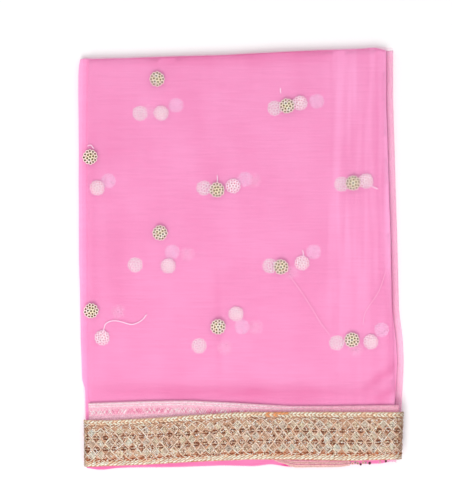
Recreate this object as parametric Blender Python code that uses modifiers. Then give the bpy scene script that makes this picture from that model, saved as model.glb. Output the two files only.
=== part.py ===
"""A sheer sequinned dupatta with zari lace on its long edges, folded into a flat packet.

The packet lies on its back panel. X runs to the right, Y towards the crease of the
lengthwise fold and +Z up. All driving sizes below are in millimetres.
"""

import math
from collections import namedtuple

import bmesh
import bpy

MM = 0.001

# Cloth
WALL = 1.0  # one sheer ply, as thick as it lies with its sequins and loft
GAP = 0.3  # between any two pieces
FIELD_TOP = 11.0  # top face of the packet, away from the lace
LEDGE = 6.0  # top of the three lower panels
RIM_END = LEDGE + GAP + 0.2  # where the top ply's rolled sides end, just over the ledge
SPINE_RISE = LEDGE - 0.2  # how high the bottom ply turns up to meet them at the right
LACE_HEIGHT = 50.8  # a two inch lace ribbon
LACE_THICK = 1.0

# How far the plies swell over the lace of the plies below
RAMP_START_Y = -128.0
RAMP_END_Y = -150.0
INNER_LIFT = 1.2
TOP_LIFT = INNER_LIFT + LACE_THICK + GAP
DROOP_SLOPE = 0.12  # the near edge sinks past the end of the second lace
DROOP_EASE = 4.0
DROOP_MOST = 2.0

# Width of the turn where the top ply rolls over each side
LEFT_TURN = 3.0
RIGHT_TURN = 6.0
FAR_TURN = 2.5
TURN_STEPS = 4

# Outline of the folded packet: each row is one point of an edge
Edge = namedtuple("Edge", "along across")
LOWER_LEFT = (
    Edge(218.0, -174.4),
    Edge(203.0, -176.4),
    Edge(8.0, -175.7),
    Edge(-88.0, -173.9),
    Edge(-135.0, -172.3),
    Edge(-139.0, -169.0),
    Edge(-224.0, -167.8),
)
TOP_LEFT = (
    Edge(218.0, -171.4),
    Edge(116.0, -172.3),
    Edge(-45.0, -171.7),
    Edge(-136.0, -171.0),
    Edge(-168.0, -169.0),
    Edge(-226.0, -168.5),
)
TOP_RIGHT = (
    Edge(226.0, 165.0),
    Edge(170.0, 165.0),
    Edge(138.0, 166.0),
    Edge(62.0, 168.2),
    Edge(8.0, 169.9),
    Edge(-56.0, 171.4),
    Edge(-110.0, 173.4),
    Edge(-168.0, 174.7),
    Edge(-220.0, 172.6),
)
LOWER_RIGHT = (
    Edge(226.0, 165.0),
    Edge(170.0, 165.0),
    Edge(138.0, 166.0),
    Edge(62.0, 168.2),
    Edge(8.0, 169.9),
    Edge(-56.0, 171.4),
    Edge(-88.0, 175.5),
    Edge(-112.0, 176.6),
    Edge(-137.0, 175.6),
    Edge(-170.0, 173.6),
    Edge(-202.0, 172.0),
    Edge(-220.0, 168.0),
)
FAR_CREASE = (
    Edge(-174.0, 218.0),
    Edge(-163.0, 217.2),
    Edge(-126.0, 218.0),
    Edge(-87.0, 219.2),
    Edge(-10.0, 221.4),
    Edge(29.0, 223.6),
    Edge(68.0, 225.4),
    Edge(107.0, 226.8),
    Edge(146.0, 228.0),
    Edge(157.0, 229.4),
    Edge(166.0, 226.8),
)
LOWER_NEAR = (
    Edge(-168.0, -227.0),
    Edge(-163.0, -229.4),
    Edge(-126.0, -228.0),
    Edge(-74.0, -227.6),
    Edge(-22.0, -225.8),
    Edge(16.0, -226.6),
    Edge(35.0, -224.2),
    Edge(55.0, -227.4),
    Edge(108.0, -226.8),
    Edge(120.0, -224.6),
    Edge(162.0, -223.6),
    Edge(172.0, -221.0),
)
TOP_LACE_UPPER = (
    Edge(-169.0, -175.0),
    Edge(-141.0, -175.0),
    Edge(-98.0, -172.8),
    Edge(-44.0, -169.0),
    Edge(-1.0, -166.3),
    Edge(64.0, -165.8),
    Edge(175.0, -166.3),
)
TOP_LACE_LOWER = (
    Edge(-169.0, -225.6),
    Edge(-98.0, -222.8),
    Edge(-44.0, -219.6),
    Edge(10.0, -217.4),
    Edge(64.0, -217.4),
    Edge(118.0, -218.8),
    Edge(175.0, -217.2),
)
SECOND_LACE_UPPER = (
    Edge(-163.0, -156.6),
    Edge(-98.0, -154.4),
    Edge(-55.0, -153.9),
    Edge(-1.0, -156.6),
    Edge(53.0, -159.8),
    Edge(96.0, -159.8),
    Edge(172.0, -158.8),
)

# The five hidden panels: how far each one's fold or edge lies inside the outline
Layer = namedtuple("Layer", "thick left right far near")
LOWER_BASE = WALL + GAP
LOWER_THICK = (LEDGE - LOWER_BASE) / 3
LOWER_LAYERS = (
    Layer(LOWER_THICK, 0.4, 8.0, 1.4, 1.8),
    Layer(LOWER_THICK, 1.6, 7.2, 0.9, 0.9),
    Layer(LOWER_THICK, 0.0, 9.0, 1.8, 1.3),
)
UPPER_THICK = (FIELD_TOP - 2 * (WALL + GAP) - LEDGE) / 2
UPPER_LAYERS = (
    Layer(UPPER_THICK, 5.0, 7.6, 2.4, 1.2),
    Layer(UPPER_THICK, 6.0, 8.4, 3.0, 2.2),
)
LAYER_NOTCH = 0.9  # depth of the groove between two panels
ROLL_INSET = 0.1
ROLL_FOOT, ROLL_HEAD = 0.3, 0.7  # where a panel's rolled edge is widest, as shares up it
LAYER_CORNER = 2.0  # radius in plan
SECOND_INSET = Layer(WALL, 4.5, 7.0, 3.4, 0.0)
BOTTOM_INSET = Layer(WALL, 0.6, 0.0, 1.6, 0.0)

# Soft ridges of the top ply, each from one end of its line to the other
Ridge = namedtuple("Ridge", "x0 y0 x1 y1 reach rise")
RIDGES = (
    Ridge(-27.0, -6.0, -24.0, -146.0, 11.0, 0.9),
    Ridge(120.0, 214.0, 126.0, -60.0, 15.0, 0.5),
    Ridge(128.0, -146.0, 168.0, -118.0, 11.0, 0.8),
    Ridge(26.0, 206.0, 96.0, 216.0, 12.0, 0.6),
    Ridge(-150.0, 190.0, -146.0, -20.0, 13.0, 0.4),
    Ridge(-130.0, -62.0, 20.0, -74.0, 14.0, 0.4),
    Ridge(30.0, 40.0, 100.0, -70.0, 14.0, 0.4),
)

# Bands of the lace, from its upper edge down
BRAID = 5.5
ZIGZAG = 2.9
DIAMOND = 10.0
STITCH_LINE = 2.2
LAST_DIAMOND = 10.6
COPPER_LINE = 1.9
DIAMOND_ROWS = (
    BRAID + ZIGZAG,
    BRAID + ZIGZAG + DIAMOND + STITCH_LINE,
    BRAID + ZIGZAG + 2 * (DIAMOND + STITCH_LINE),
)
FLAT_DIAMONDS = 34
BRAID_RISE = 0.5
BRAID_TWIST = 0.15
DIAMOND_RISE = 0.6
GROUND_RISE = 0.1
DIAMOND_CRISP = 4.0  # degrees: sides of the low diamonds stay crisp

# The stretch of a lower ply's lace that shows at the near edge
LOWER_LACE_LEFT = 36.0
LOWER_LACE_RIGHT = 118.0
LOWER_LACE_COLUMNS = 10

# Sequin flowers on the top ply
Flower = namedtuple("Flower", "x y")
FLOWERS = (
    Flower(-90.7, 193.3),
    Flower(-163.0, 109.0),
    Flower(-87.5, 27.0),
    Flower(-162.0, -57.2),
    Flower(-25.9, 73.4),
    Flower(-24.8, -74.5),
    Flower(49.7, 164.2),
    Flower(43.2, -9.7),
    Flower(121.0, 81.0),
    Flower(119.9, -88.6),
)
FLOWER_RADIUS = 8.0
FLOWER_LOBES = 12
FLOWER_SCALLOP = 0.6
FLOWER_THICK = 0.9
FLOWER_DOME = 0.4
FLOWER_GAP = 0.5  # clears the roll of the fold, round which two flowers bend

SINK_PINK = (0.93, 0.29, 0.55, 1.0)
NET_PINK = (0.96, 0.33, 0.60, 1.0)
DEEP_PINK = (0.88, 0.24, 0.47, 1.0)
ZARI_GOLD = (0.62, 0.40, 0.25, 1.0)
PALE_GOLD = (0.72, 0.52, 0.38, 1.0)
SEQUIN_GOLD = (0.70, 0.55, 0.36, 1.0)


def clear_scene():
    for thing in list(bpy.data.objects):
        bpy.data.objects.remove(thing, do_unlink=True)


def material(name, colour, roughness, metallic):
    made = bpy.data.materials.new(name)
    made.use_nodes = True
    shader = made.node_tree.nodes["Principled BSDF"]
    shader.inputs["Base Color"].default_value = colour
    shader.inputs["Roughness"].default_value = roughness
    shader.inputs["Metallic"].default_value = metallic
    made.diffuse_color = colour
    return made


def mix(low, high, share):
    return low + (high - low) * share


def clamp(value, low=0.0, high=1.0):
    return min(max(value, low), high)


def ease(share):
    share = clamp(share)
    return share * share * (3.0 - 2.0 * share)


def edge_at(edge, along):
    """Where an edge runs at one place along it, straight between its points."""
    points = sorted(edge)
    if along <= points[0].along:
        return points[0].across
    for low, high in zip(points, points[1:]):
        if along <= high.along:
            share = (along - low.along) / (high.along - low.along)
            return mix(low.across, high.across, share)
    return points[-1].across


def second_lace_lower(x):
    return edge_at(SECOND_LACE_UPPER, x) - LACE_HEIGHT


def ridge_rise(ridge, x, y):
    """How much one soft ridge lifts the top ply: none at its ends and at its reach."""
    run_x, run_y = ridge.x1 - ridge.x0, ridge.y1 - ridge.y0
    length = math.hypot(run_x, run_y)
    along = ((x - ridge.x0) * run_x + (y - ridge.y0) * run_y) / length
    aside = ((x - ridge.x0) * run_y - (y - ridge.y0) * run_x) / length
    if not 0.0 < along < length or abs(aside) >= ridge.reach:
        return 0.0
    taper = math.sin(math.pi * along / length)
    return ridge.rise * taper * math.cos(0.5 * math.pi * aside / ridge.reach) ** 2


def swell(y):
    """Share of the swell over the lace, from none in the field to all of it."""
    return ease((RAMP_START_Y - y) / (RAMP_START_Y - RAMP_END_Y))


def droop(x, y):
    past = second_lace_lower(x) - GAP - y
    if past <= 0.0:
        return 0.0
    return min(DROOP_SLOPE * past * past / (past + DROOP_EASE), DROOP_MOST)


def top_height(x, y):
    """Height of the top ply's upper face."""
    ridges = sum(ridge_rise(ridge, x, y) for ridge in RIDGES)
    return FIELD_TOP + TOP_LIFT * swell(y) + ridges - droop(x, y)


def second_height(y):
    return FIELD_TOP - WALL - GAP + INNER_LIFT * swell(y)


def inner_height(y):
    return second_height(y) - WALL - GAP


def on_top_ply(x_flat, y_flat, over_x, over_y, raised):
    """A point on the top ply, or raised off it.

    over_x and over_y say how far it lies round the roll of the left or right side and
    of the far crease: 0 is on the flat and 1 is a quarter turn, at the rim.
    """
    reach = max(abs(over_x), over_y)
    top = top_height(x_flat, y_flat)
    if reach == 0.0:
        return x_flat, y_flat, top + raised
    length = math.hypot(over_x, over_y)
    side_x, side_y = over_x / length, over_y / length
    side_turn = LEFT_TURN if over_x < 0 else RIGHT_TURN
    radius = side_turn * side_x**2 + FAR_TURN * side_y**2 + raised
    angle = 0.5 * math.pi * reach
    out = radius * math.sin(angle)
    drop = (top + raised - RIM_END) * (1.0 - math.cos(angle))
    return x_flat + out * side_x, y_flat + out * side_y, top + raised - drop


def top_flat_x(share, y):
    left = edge_at(TOP_LEFT, y) + LEFT_TURN
    right = edge_at(TOP_RIGHT, y) - RIGHT_TURN
    return mix(left, right, share)


def lace_y(x, down):
    """The line of the top lace that lies this far below its upper edge."""
    return mix(edge_at(TOP_LACE_UPPER, x), edge_at(TOP_LACE_LOWER, x), down / LACE_HEIGHT)


def lace_lines():
    """Each line of the lace's face: how far down it lies, and its kind."""
    lines = [(0.0, "edge"), (BRAID / 2, "braid"), (BRAID, "ground")]
    for start in DIAMOND_ROWS:
        height = LAST_DIAMOND if start == DIAMOND_ROWS[-1] else DIAMOND
        lines += [(start, "ground"), (start + height / 2, "diamond"), (start + height, "ground")]
    lines += [
        (DIAMOND_ROWS[-1] + LAST_DIAMOND + COPPER_LINE, "ground"),
        (LACE_HEIGHT - BRAID / 2, "braid"),
        (LACE_HEIGHT, "edge"),
    ]
    return lines


# Lines that the lace's back and the ply under it share, so that they lie parallel
BACK_LINES = (
    0.0,
    DIAMOND_ROWS[1],
    DIAMOND_ROWS[2],
    DIAMOND_ROWS[2] + LAST_DIAMOND + COPPER_LINE,
    LACE_HEIGHT,
)


def cloth_object(name, mesh, paint, collection, crisp_angle=50.0):
    """Adds a mesh as one named piece, scaled from millimetres to metres."""
    for vertex in mesh.vertices:
        vertex.co = vertex.co * MM
    mesh.materials.append(paint)
    mesh.shade_smooth()
    mesh.set_sharp_from_angle(angle=math.radians(crisp_angle))
    piece = bpy.data.objects.new(name, mesh)
    collection.objects.link(piece)
    return piece


def grid_mesh(name, columns, rows, place):
    """A grid whose points are placed by their column and row numbers."""
    shape = bmesh.new()
    bmesh.ops.create_grid(shape, x_segments=columns, y_segments=rows, size=0.5)
    for vertex in shape.verts:
        column = round((vertex.co.x + 0.5) * columns)
        row = round((vertex.co.y + 0.5) * rows)
        vertex.co = place(column, row)
    mesh = bpy.data.meshes.new(name)
    shape.to_mesh(mesh)
    shape.free()
    return mesh


def thicken(piece, thick):
    """Gives an open sheet its wall, behind the face that shows."""
    wall = piece.modifiers.new("wall", "SOLIDIFY")
    wall.thickness = thick * MM
    wall.offset = -1.0


def closed_loft(name, rings, caps):
    """A closed solid through rings of equal length, with each cap's faces given."""
    shape = bmesh.new()
    levels = [[shape.verts.new(point) for point in ring] for ring in rings]
    for lower, upper in zip(levels, levels[1:]):
        for step in range(len(lower)):
            after = (step + 1) % len(lower)
            shape.faces.new((lower[step], lower[after], upper[after], upper[step]))
    caps(shape, levels[0], levels[-1])
    bmesh.ops.recalc_face_normals(shape, faces=shape.faces)
    mesh = bpy.data.meshes.new(name)
    shape.to_mesh(mesh)
    shape.free()
    return mesh


# How finely each sheet is divided
RAMP_ROWS = 4
FIELD_COLUMNS, FIELD_ROWS = 24, 20
SECOND_COLUMNS, SECOND_ROWS = 12, 8
BOTTOM_COLUMNS, BOTTOM_ROWS = 20, 16
SECOND_LACE_COLUMNS, SECOND_LACE_ROWS = 20, 2
INNER_COLUMNS, INNER_FIELD_ROWS = 24, 12


def body_rows(field_rows):
    """Rows above the lace: level ones over the swell's ramp, then shares of the field."""
    ramp = [mix(RAMP_END_Y, RAMP_START_Y, step / RAMP_ROWS) for step in range(RAMP_ROWS + 1)]
    field = [(step + 1) / field_rows for step in range(field_rows)]
    return [("ramp", y) for y in ramp] + [("field", share) for share in field]


def body_y(row, x, far_inset):
    zone, value = row
    if zone == "ramp":
        return value
    return mix(RAMP_START_Y, edge_at(FAR_CREASE, x) - far_inset, value)


def turn_columns(flat_columns):
    """Each column as its share of the flat and how far round a side's roll it is."""
    left = [(0.0, step / TURN_STEPS - 1.0) for step in range(TURN_STEPS)]
    flat = [(column / flat_columns, 0.0) for column in range(flat_columns + 1)]
    right = [(1.0, (step + 1) / TURN_STEPS) for step in range(TURN_STEPS)]
    return left + flat + right


def top_ply(paint, collection):
    """The panel that shows: rolled over at both sides and at the far crease."""
    columns = turn_columns(FIELD_COLUMNS)
    rows = [(("lace", down), 0.0) for down in reversed(BACK_LINES)]
    rows += [(row, 0.0) for row in body_rows(FIELD_ROWS)]
    rows += [(rows[-1][0], (step + 1) / TURN_STEPS) for step in range(TURN_STEPS)]

    def place(column, row):
        share, over_x = columns[column]
        line, over_y = rows[row]
        x = top_flat_x(share, 0.0)
        y = lace_y(x, line[1]) if line[0] == "lace" else body_y(line, x, FAR_TURN)
        return on_top_ply(top_flat_x(share, y), y, over_x, over_y, 0.0)

    mesh = grid_mesh("top_ply", len(columns) - 1, len(rows) - 1, place)
    thicken(cloth_object("top_ply", mesh, paint, collection), WALL)


def second_ply(paint, collection):
    """The other half of the lengthwise fold, seen through the top ply."""
    rows = body_rows(SECOND_ROWS)

    def place(column, row):
        share = column / SECOND_COLUMNS
        x = mix(
            edge_at(TOP_LEFT, 0.0) + SECOND_INSET.left,
            edge_at(TOP_RIGHT, 0.0) - SECOND_INSET.right,
            share,
        )
        y = body_y(rows[row - 1], x, SECOND_INSET.far) if row else second_lace_lower(x)
        left = edge_at(TOP_LEFT, y) + SECOND_INSET.left
        right = edge_at(TOP_RIGHT, y) - SECOND_INSET.right
        return mix(left, right, share), y, second_height(y)

    mesh = grid_mesh("second_ply", SECOND_COLUMNS, len(rows), place)
    thicken(cloth_object("second_ply", mesh, paint, collection), WALL)


def bottom_ply(paint, collection):
    """The panel that the packet lies on, turned up at the right to meet the top ply."""
    flat = [(column / BOTTOM_COLUMNS, 0.0) for column in range(BOTTOM_COLUMNS + 1)]
    columns = flat + [(1.0, (step + 1) / TURN_STEPS) for step in range(TURN_STEPS)]

    def place(column, row):
        share, over = columns[len(columns) - 1 - column]
        x = mix(edge_at(LOWER_LEFT, 0.0), edge_at(LOWER_RIGHT, 0.0), share)
        far = edge_at(FAR_CREASE, x) - BOTTOM_INSET.far
        y = mix(edge_at(LOWER_NEAR, x), far, row / BOTTOM_ROWS)
        left = edge_at(LOWER_LEFT, y) + BOTTOM_INSET.left
        right = edge_at(LOWER_RIGHT, y) - RIGHT_TURN
        angle = 0.5 * math.pi * over
        rise = SPINE_RISE * (1.0 - math.cos(angle))
        return mix(left, right, share) + RIGHT_TURN * math.sin(angle), y, rise

    mesh = grid_mesh("bottom_ply", len(columns) - 1, BOTTOM_ROWS, place)
    thicken(cloth_object("bottom_ply", mesh, paint, collection), WALL)


INNER_BODY = body_rows(INNER_FIELD_ROWS)
INNER_ROWS = len(INNER_BODY)


def square_edge(columns, rows):
    """Column and row of each point round a grid's edge, anticlockwise."""
    near = [(column, 0) for column in range(columns)]
    right = [(columns, row) for row in range(rows)]
    far = [(column, rows) for column in range(columns, 0, -1)]
    left = [(0, row) for row in range(rows, 0, -1)]
    return near + right + far + left


def panel_point(layer, upper, notch, column, row):
    """Where a grid point of a hidden panel lies in plan, drawn in at a rounded corner."""
    share_x = column / INNER_COLUMNS
    left_edge, right_edge = (TOP_LEFT, TOP_RIGHT) if upper else (LOWER_LEFT, LOWER_RIGHT)
    near_edge = TOP_LACE_LOWER if upper else LOWER_NEAR
    corner = 0.0
    if column in (0, INNER_COLUMNS) and row in (0, INNER_ROWS):
        corner = LAYER_CORNER * (1.0 - math.sqrt(0.5))
    x = mix(edge_at(left_edge, 0.0), edge_at(right_edge, 0.0), share_x)
    if row:
        y = body_y(INNER_BODY[row - 1], x, layer.far + notch + corner)
    else:
        y = edge_at(near_edge, x) + layer.near + notch + corner
    left = edge_at(left_edge, y) + layer.left + notch + corner
    right = edge_at(right_edge, y) - layer.right - notch - corner
    return mix(left, right, share_x), y


def panel_ring(layer, upper, notch, height_of):
    """One ring round a hidden panel, with its height worked out from Y."""
    ring = []
    for column, row in square_edge(INNER_COLUMNS, INNER_ROWS):
        x, y = panel_point(layer, upper, notch, column, row)
        ring.append((x, y, height_of(y)))
    return ring


def panel_rings(layer, upper, foot_of, top_of):
    """Rings up one hidden panel: the groove at its foot, then its rolled edge."""
    rings = []
    for up, notch in ((0.0, LAYER_NOTCH), (ROLL_FOOT, ROLL_INSET), (ROLL_HEAD, ROLL_INSET)):

        def height_of(y, up=up):
            return mix(foot_of(y), top_of(y), up)

        rings.append(panel_ring(layer, upper, notch, height_of))
    return rings


def level(height):
    return lambda y: height


def middle_height(y):
    """Height of the groove between the two upper panels, with half of their lift."""
    return LEDGE + UPPER_THICK + 0.5 * INNER_LIFT * swell(y)


def inner_layers(paint, collection):
    """The five hidden panels as one solid, with a rolled edge for each of them."""
    rings = []
    foot = LOWER_BASE
    for layer in LOWER_LAYERS:
        rings += panel_rings(layer, False, level(foot), level(foot + layer.thick))
        foot += layer.thick
    rings.append(panel_ring(LOWER_LAYERS[-1], False, LAYER_NOTCH, level(LEDGE)))
    first, last = UPPER_LAYERS
    rings += panel_rings(first, True, level(LEDGE), middle_height)
    rings += panel_rings(last, True, middle_height, inner_height)
    rings.append(panel_ring(last, True, LAYER_NOTCH, inner_height))

    def caps(shape, foot, head):
        shape.faces.new(list(reversed(foot)))
        edge = dict(zip(square_edge(INNER_COLUMNS, INNER_ROWS), head))
        for column in range(1, INNER_COLUMNS):
            for row in range(1, INNER_ROWS):
                x, y = panel_point(last, True, LAYER_NOTCH, column, row)
                edge[column, row] = shape.verts.new((x, y, inner_height(y)))
        for column in range(INNER_COLUMNS):
            for row in range(INNER_ROWS):
                corners = ((0, 0), (1, 0), (1, 1), (0, 1))
                shape.faces.new([edge[column + dx, row + dy] for dx, dy in corners])

    mesh = closed_loft("inner_layers", rings, caps)
    cloth_object("inner_layers", mesh, paint, collection)


def lace_rise(kind, step):
    """Relief of the lace's face at one column of one of its lines."""
    if kind == "braid":
        return BRAID_RISE + (BRAID_TWIST if step % 2 else -BRAID_TWIST)
    if kind == "diamond":
        return DIAMOND_RISE if step % 2 else GROUND_RISE
    return GROUND_RISE if kind == "ground" else 0.0


def line_points(shape, columns, down, kind, raised):
    """Points of one line along the lace; its back has no kind and no relief."""
    points = []
    for step, (share, over) in enumerate(columns):
        x = top_flat_x(share, edge_at(TOP_LACE_UPPER, 0.0))
        y = lace_y(x, down)
        rise = raised if kind is None else raised + lace_rise(kind, step)
        place = on_top_ply(top_flat_x(share, y), y, over, 0.0, rise)
        points.append(shape.verts.new(place))
    return points


def join_lines(shape, first, second):
    for step in range(len(first) - 1):
        shape.faces.new((first[step], first[step + 1], second[step + 1], second[step]))


def join_diamonds(shape, upper, lower, peaks_below):
    """Joins two lines with triangles that are split along the sides of the diamonds."""
    for step in range(len(upper) - 1):
        quad = (upper[step], lower[step], lower[step + 1], upper[step + 1])
        falling = (step % 2 == 1) == peaks_below
        if falling:
            shape.faces.new((quad[0], quad[1], quad[2]))
            shape.faces.new((quad[0], quad[2], quad[3]))
        else:
            shape.faces.new((quad[0], quad[1], quad[3]))
            shape.faces.new((quad[1], quad[2], quad[3]))


def top_lace(paint, collection):
    """The lace on the top ply: three rows of raised diamonds between two braids."""
    columns = turn_columns(2 * FLAT_DIAMONDS)
    lines = lace_lines()
    shape = bmesh.new()
    face = [line_points(shape, columns, *line, GAP + LACE_THICK) for line in lines]
    back = [line_points(shape, columns, down, None, GAP) for down in BACK_LINES]
    for line, (upper, lower) in enumerate(zip(face, face[1:])):
        peaks_above = lines[line][1] == "diamond"
        peaks_below = lines[line + 1][1] == "diamond"
        if peaks_above or peaks_below:
            join_diamonds(shape, upper, lower, peaks_below)
        else:
            join_lines(shape, upper, lower)
    for first, second in zip(back, back[1:]):
        join_lines(shape, first, second)
    join_lines(shape, face[0], back[0])
    join_lines(shape, face[-1], back[-1])
    for end in (0, -1):
        ring = [line[end] for line in face] + [line[end] for line in reversed(back)]
        shape.faces.new(ring)
    bmesh.ops.recalc_face_normals(shape, faces=shape.faces)
    mesh = bpy.data.meshes.new("top_lace")
    shape.to_mesh(mesh)
    shape.free()
    cloth_object("top_lace", mesh, paint, collection, DIAMOND_CRISP)


def second_lace(paint, collection):
    """The lace on the second ply, which shows as a pale band through the top ply."""
    def place(column, row):
        share, up = column / SECOND_LACE_COLUMNS, row / SECOND_LACE_ROWS
        x = mix(
            edge_at(TOP_LEFT, RAMP_END_Y) + SECOND_INSET.left,
            edge_at(TOP_RIGHT, RAMP_END_Y) - SECOND_INSET.right,
            share,
        )
        y = mix(second_lace_lower(x) + GAP, edge_at(SECOND_LACE_UPPER, x), up)
        left = edge_at(TOP_LEFT, y) + SECOND_INSET.left
        right = edge_at(TOP_RIGHT, y) - SECOND_INSET.right
        return mix(left, right, share), y, second_height(y) + GAP + LACE_THICK

    mesh = grid_mesh("second_lace", SECOND_LACE_COLUMNS, SECOND_LACE_ROWS, place)
    thicken(cloth_object("second_lace", mesh, paint, collection), LACE_THICK)


def lower_lace(paint, collection):
    """A lower ply's lace, where it peeps out under the near edge of the top lace."""
    def place(column, row):
        x = mix(LOWER_LACE_LEFT, LOWER_LACE_RIGHT, column / LOWER_LACE_COLUMNS)
        inner = edge_at(TOP_LACE_LOWER, x) - GAP
        outer = edge_at(LOWER_NEAR, x) + GAP
        return x, mix(outer, inner, row), LEDGE + GAP + LACE_THICK

    mesh = grid_mesh("lower_lace", LOWER_LACE_COLUMNS, 1, place)
    thicken(cloth_object("lower_lace", mesh, paint, collection), LACE_THICK)


def drape_on_top_ply(x, y, raised):
    """Lays a flat point on the top ply, round the left roll where it passes the fold."""
    fold = top_flat_x(0.0, y)
    over = min((x - fold) / (0.5 * math.pi * LEFT_TURN), 0.0)
    return on_top_ply(max(x, fold), y, max(over, -1.0), 0.0, raised)


def sequin_flower(number, flower, paint, collection):
    """A round sequin flower with a scalloped rim, laid on the top ply."""
    shape = bmesh.new()
    bmesh.ops.create_cone(
        shape,
        cap_ends=True,
        cap_tris=True,
        segments=2 * FLOWER_LOBES,
        radius1=1.0,
        radius2=1.0,
        depth=1.0,
    )
    for vertex in shape.verts:
        from_middle = math.hypot(vertex.co.x, vertex.co.y)
        angle = math.atan2(vertex.co.y, vertex.co.x)
        lobe = 0.5 + 0.5 * math.cos(FLOWER_LOBES * angle)
        radius = (FLOWER_RADIUS - FLOWER_SCALLOP * lobe) * from_middle
        raised = FLOWER_GAP
        if vertex.co.z > 0:
            raised += FLOWER_THICK + FLOWER_DOME * (1.0 - from_middle)
        x = flower.x + radius * math.cos(angle)
        y = flower.y + radius * math.sin(angle)
        vertex.co = drape_on_top_ply(x, y, raised)
    mesh = bpy.data.meshes.new("flower")
    shape.to_mesh(mesh)
    shape.free()
    cloth_object(f"sequin_flower_{number:02d}", mesh, paint, collection)


def build():
    clear_scene()
    dupatta = bpy.data.collections.new("folded_dupatta")
    bpy.context.scene.collection.children.link(dupatta)
    net = material("pink_net", NET_PINK, 0.62, 0.0)
    hidden_net = material("deep_pink_net", SINK_PINK, 0.7, 0.0)
    under_net = material("under_net", DEEP_PINK, 0.7, 0.0)
    zari = material("zari_lace", ZARI_GOLD, 0.45, 0.6)
    pale_zari = material("pale_zari_lace", PALE_GOLD, 0.5, 0.5)
    sequin = material("gold_sequin", SEQUIN_GOLD, 0.3, 0.8)
    top_ply(net, dupatta)
    second_ply(net, dupatta)
    inner_layers(hidden_net, dupatta)
    bottom_ply(under_net, dupatta)
    top_lace(zari, dupatta)
    second_lace(pale_zari, dupatta)
    lower_lace(zari, dupatta)
    for number, flower in enumerate(FLOWERS, start=1):
        sequin_flower(number, flower, sequin, dupatta)


build()
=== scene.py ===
# %% [markdown]
# A folded dupatta
#
# The object is a long scarf of sheer pink net, strewn with sequin flowers and edged with a
# ribbon of gold zari lace. It has been folded in half along its length, then into panels,
# and lies flat as a packet. We look straight down on it.
# The solids of every main form are already made and packed. This lesson dresses them: each
# solid that stands for cloth gets a thin, lively piece in the same place.

import math
import random
from collections import namedtuple

import bpy
import numpy as np
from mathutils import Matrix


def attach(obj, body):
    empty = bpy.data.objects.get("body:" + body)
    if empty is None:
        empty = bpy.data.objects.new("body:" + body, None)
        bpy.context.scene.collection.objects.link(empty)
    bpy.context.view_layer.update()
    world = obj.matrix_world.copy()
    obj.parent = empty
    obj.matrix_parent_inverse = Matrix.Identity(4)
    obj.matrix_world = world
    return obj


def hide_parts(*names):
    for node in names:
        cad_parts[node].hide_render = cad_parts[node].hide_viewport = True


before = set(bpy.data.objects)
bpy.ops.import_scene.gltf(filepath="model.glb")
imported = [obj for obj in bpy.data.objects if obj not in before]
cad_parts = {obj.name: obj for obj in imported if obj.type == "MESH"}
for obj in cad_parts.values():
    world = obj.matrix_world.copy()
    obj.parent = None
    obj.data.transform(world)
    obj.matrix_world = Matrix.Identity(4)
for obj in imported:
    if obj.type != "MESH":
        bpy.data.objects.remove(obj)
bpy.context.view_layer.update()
MM = 0.001  # every length below is in millimetres
print("solids loaded:", len(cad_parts))

# %% [markdown]
# The camera
#
# The photo is taken from straight above with hardly any perspective, so a long lens a good
# way up is right. A long side of 500 pixels shows 540 mm of the table.

# %% Set the camera
VIEW_MIDDLE_X, VIEW_MIDDLE_Y = -16.2, 8.6
VIEW_HEIGHT = 540.0
LENS, SENSOR = 120.0, 36.0
PACKET_TOP = 12.0

camera_data = bpy.data.cameras.new("overhead_camera")
camera_data.lens = LENS
camera_data.sensor_width = SENSOR
camera = bpy.data.objects.new("overhead_camera", camera_data)
bpy.context.scene.collection.objects.link(camera)
bpy.context.scene.camera = camera
camera_up = PACKET_TOP + VIEW_HEIGHT * LENS / SENSOR
camera.location = (VIEW_MIDDLE_X * MM, VIEW_MIDDLE_Y * MM, camera_up * MM)
print("camera height in mm:", round(camera_up))

# %% [markdown]
# Light and floor
#
# Sheer cloth on a light table has almost no shadow. A bright even sky gives that, and one
# large soft lamp from the near side adds just enough shape: slopes that face away from us,
# such as the far crease, turn a little deeper in colour.
# The Standard view keeps the pinks as clean as they are on screen in a shop picture.

# %% Light the table
SKY_STRENGTH = 0.82
LAMP_POWER, LAMP_SIZE = 36.0, 1.3
LAMP_PLACE = (-0.6, -1.7, 1.9)  # in metres, off to the near side

bpy.context.scene.view_settings.view_transform = "Standard"
sky = bpy.data.worlds.new("even_sky")
sky.use_nodes = True
sky.node_tree.nodes["Background"].inputs["Color"].default_value = (1.0, 1.0, 1.0, 1.0)
sky.node_tree.nodes["Background"].inputs["Strength"].default_value = SKY_STRENGTH
bpy.context.scene.world = sky

lamp_data = bpy.data.lights.new("soft_lamp", "AREA")
lamp_data.energy = LAMP_POWER
lamp_data.size = LAMP_SIZE
lamp = bpy.data.objects.new("soft_lamp", lamp_data)
bpy.context.scene.collection.objects.link(lamp)
lamp.location = LAMP_PLACE
lamp.rotation_euler = (-lamp.location).to_track_quat("-Z", "Y").to_euler()
lamp.visible_camera = False
print("sky", SKY_STRENGTH, "lamp", LAMP_POWER, "W")

# %% [markdown]
# The table
#
# A plain pale floor lies just under the packet. Two helpers come with it, since every
# finish needs them: one makes a material and hands out its shader, and one turns the
# colour of a swatch, as seen on a screen, into the light that Blender reckons with.

# %% Lay the table
def material(name, roughness, metallic=0.0):
    """A new material, its node tree and its shader."""
    made = bpy.data.materials.new(name)
    made.use_nodes = True
    shader = made.node_tree.nodes["Principled BSDF"]
    shader.inputs["Roughness"].default_value = roughness
    shader.inputs["Metallic"].default_value = metallic
    return made, made.node_tree, shader


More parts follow.
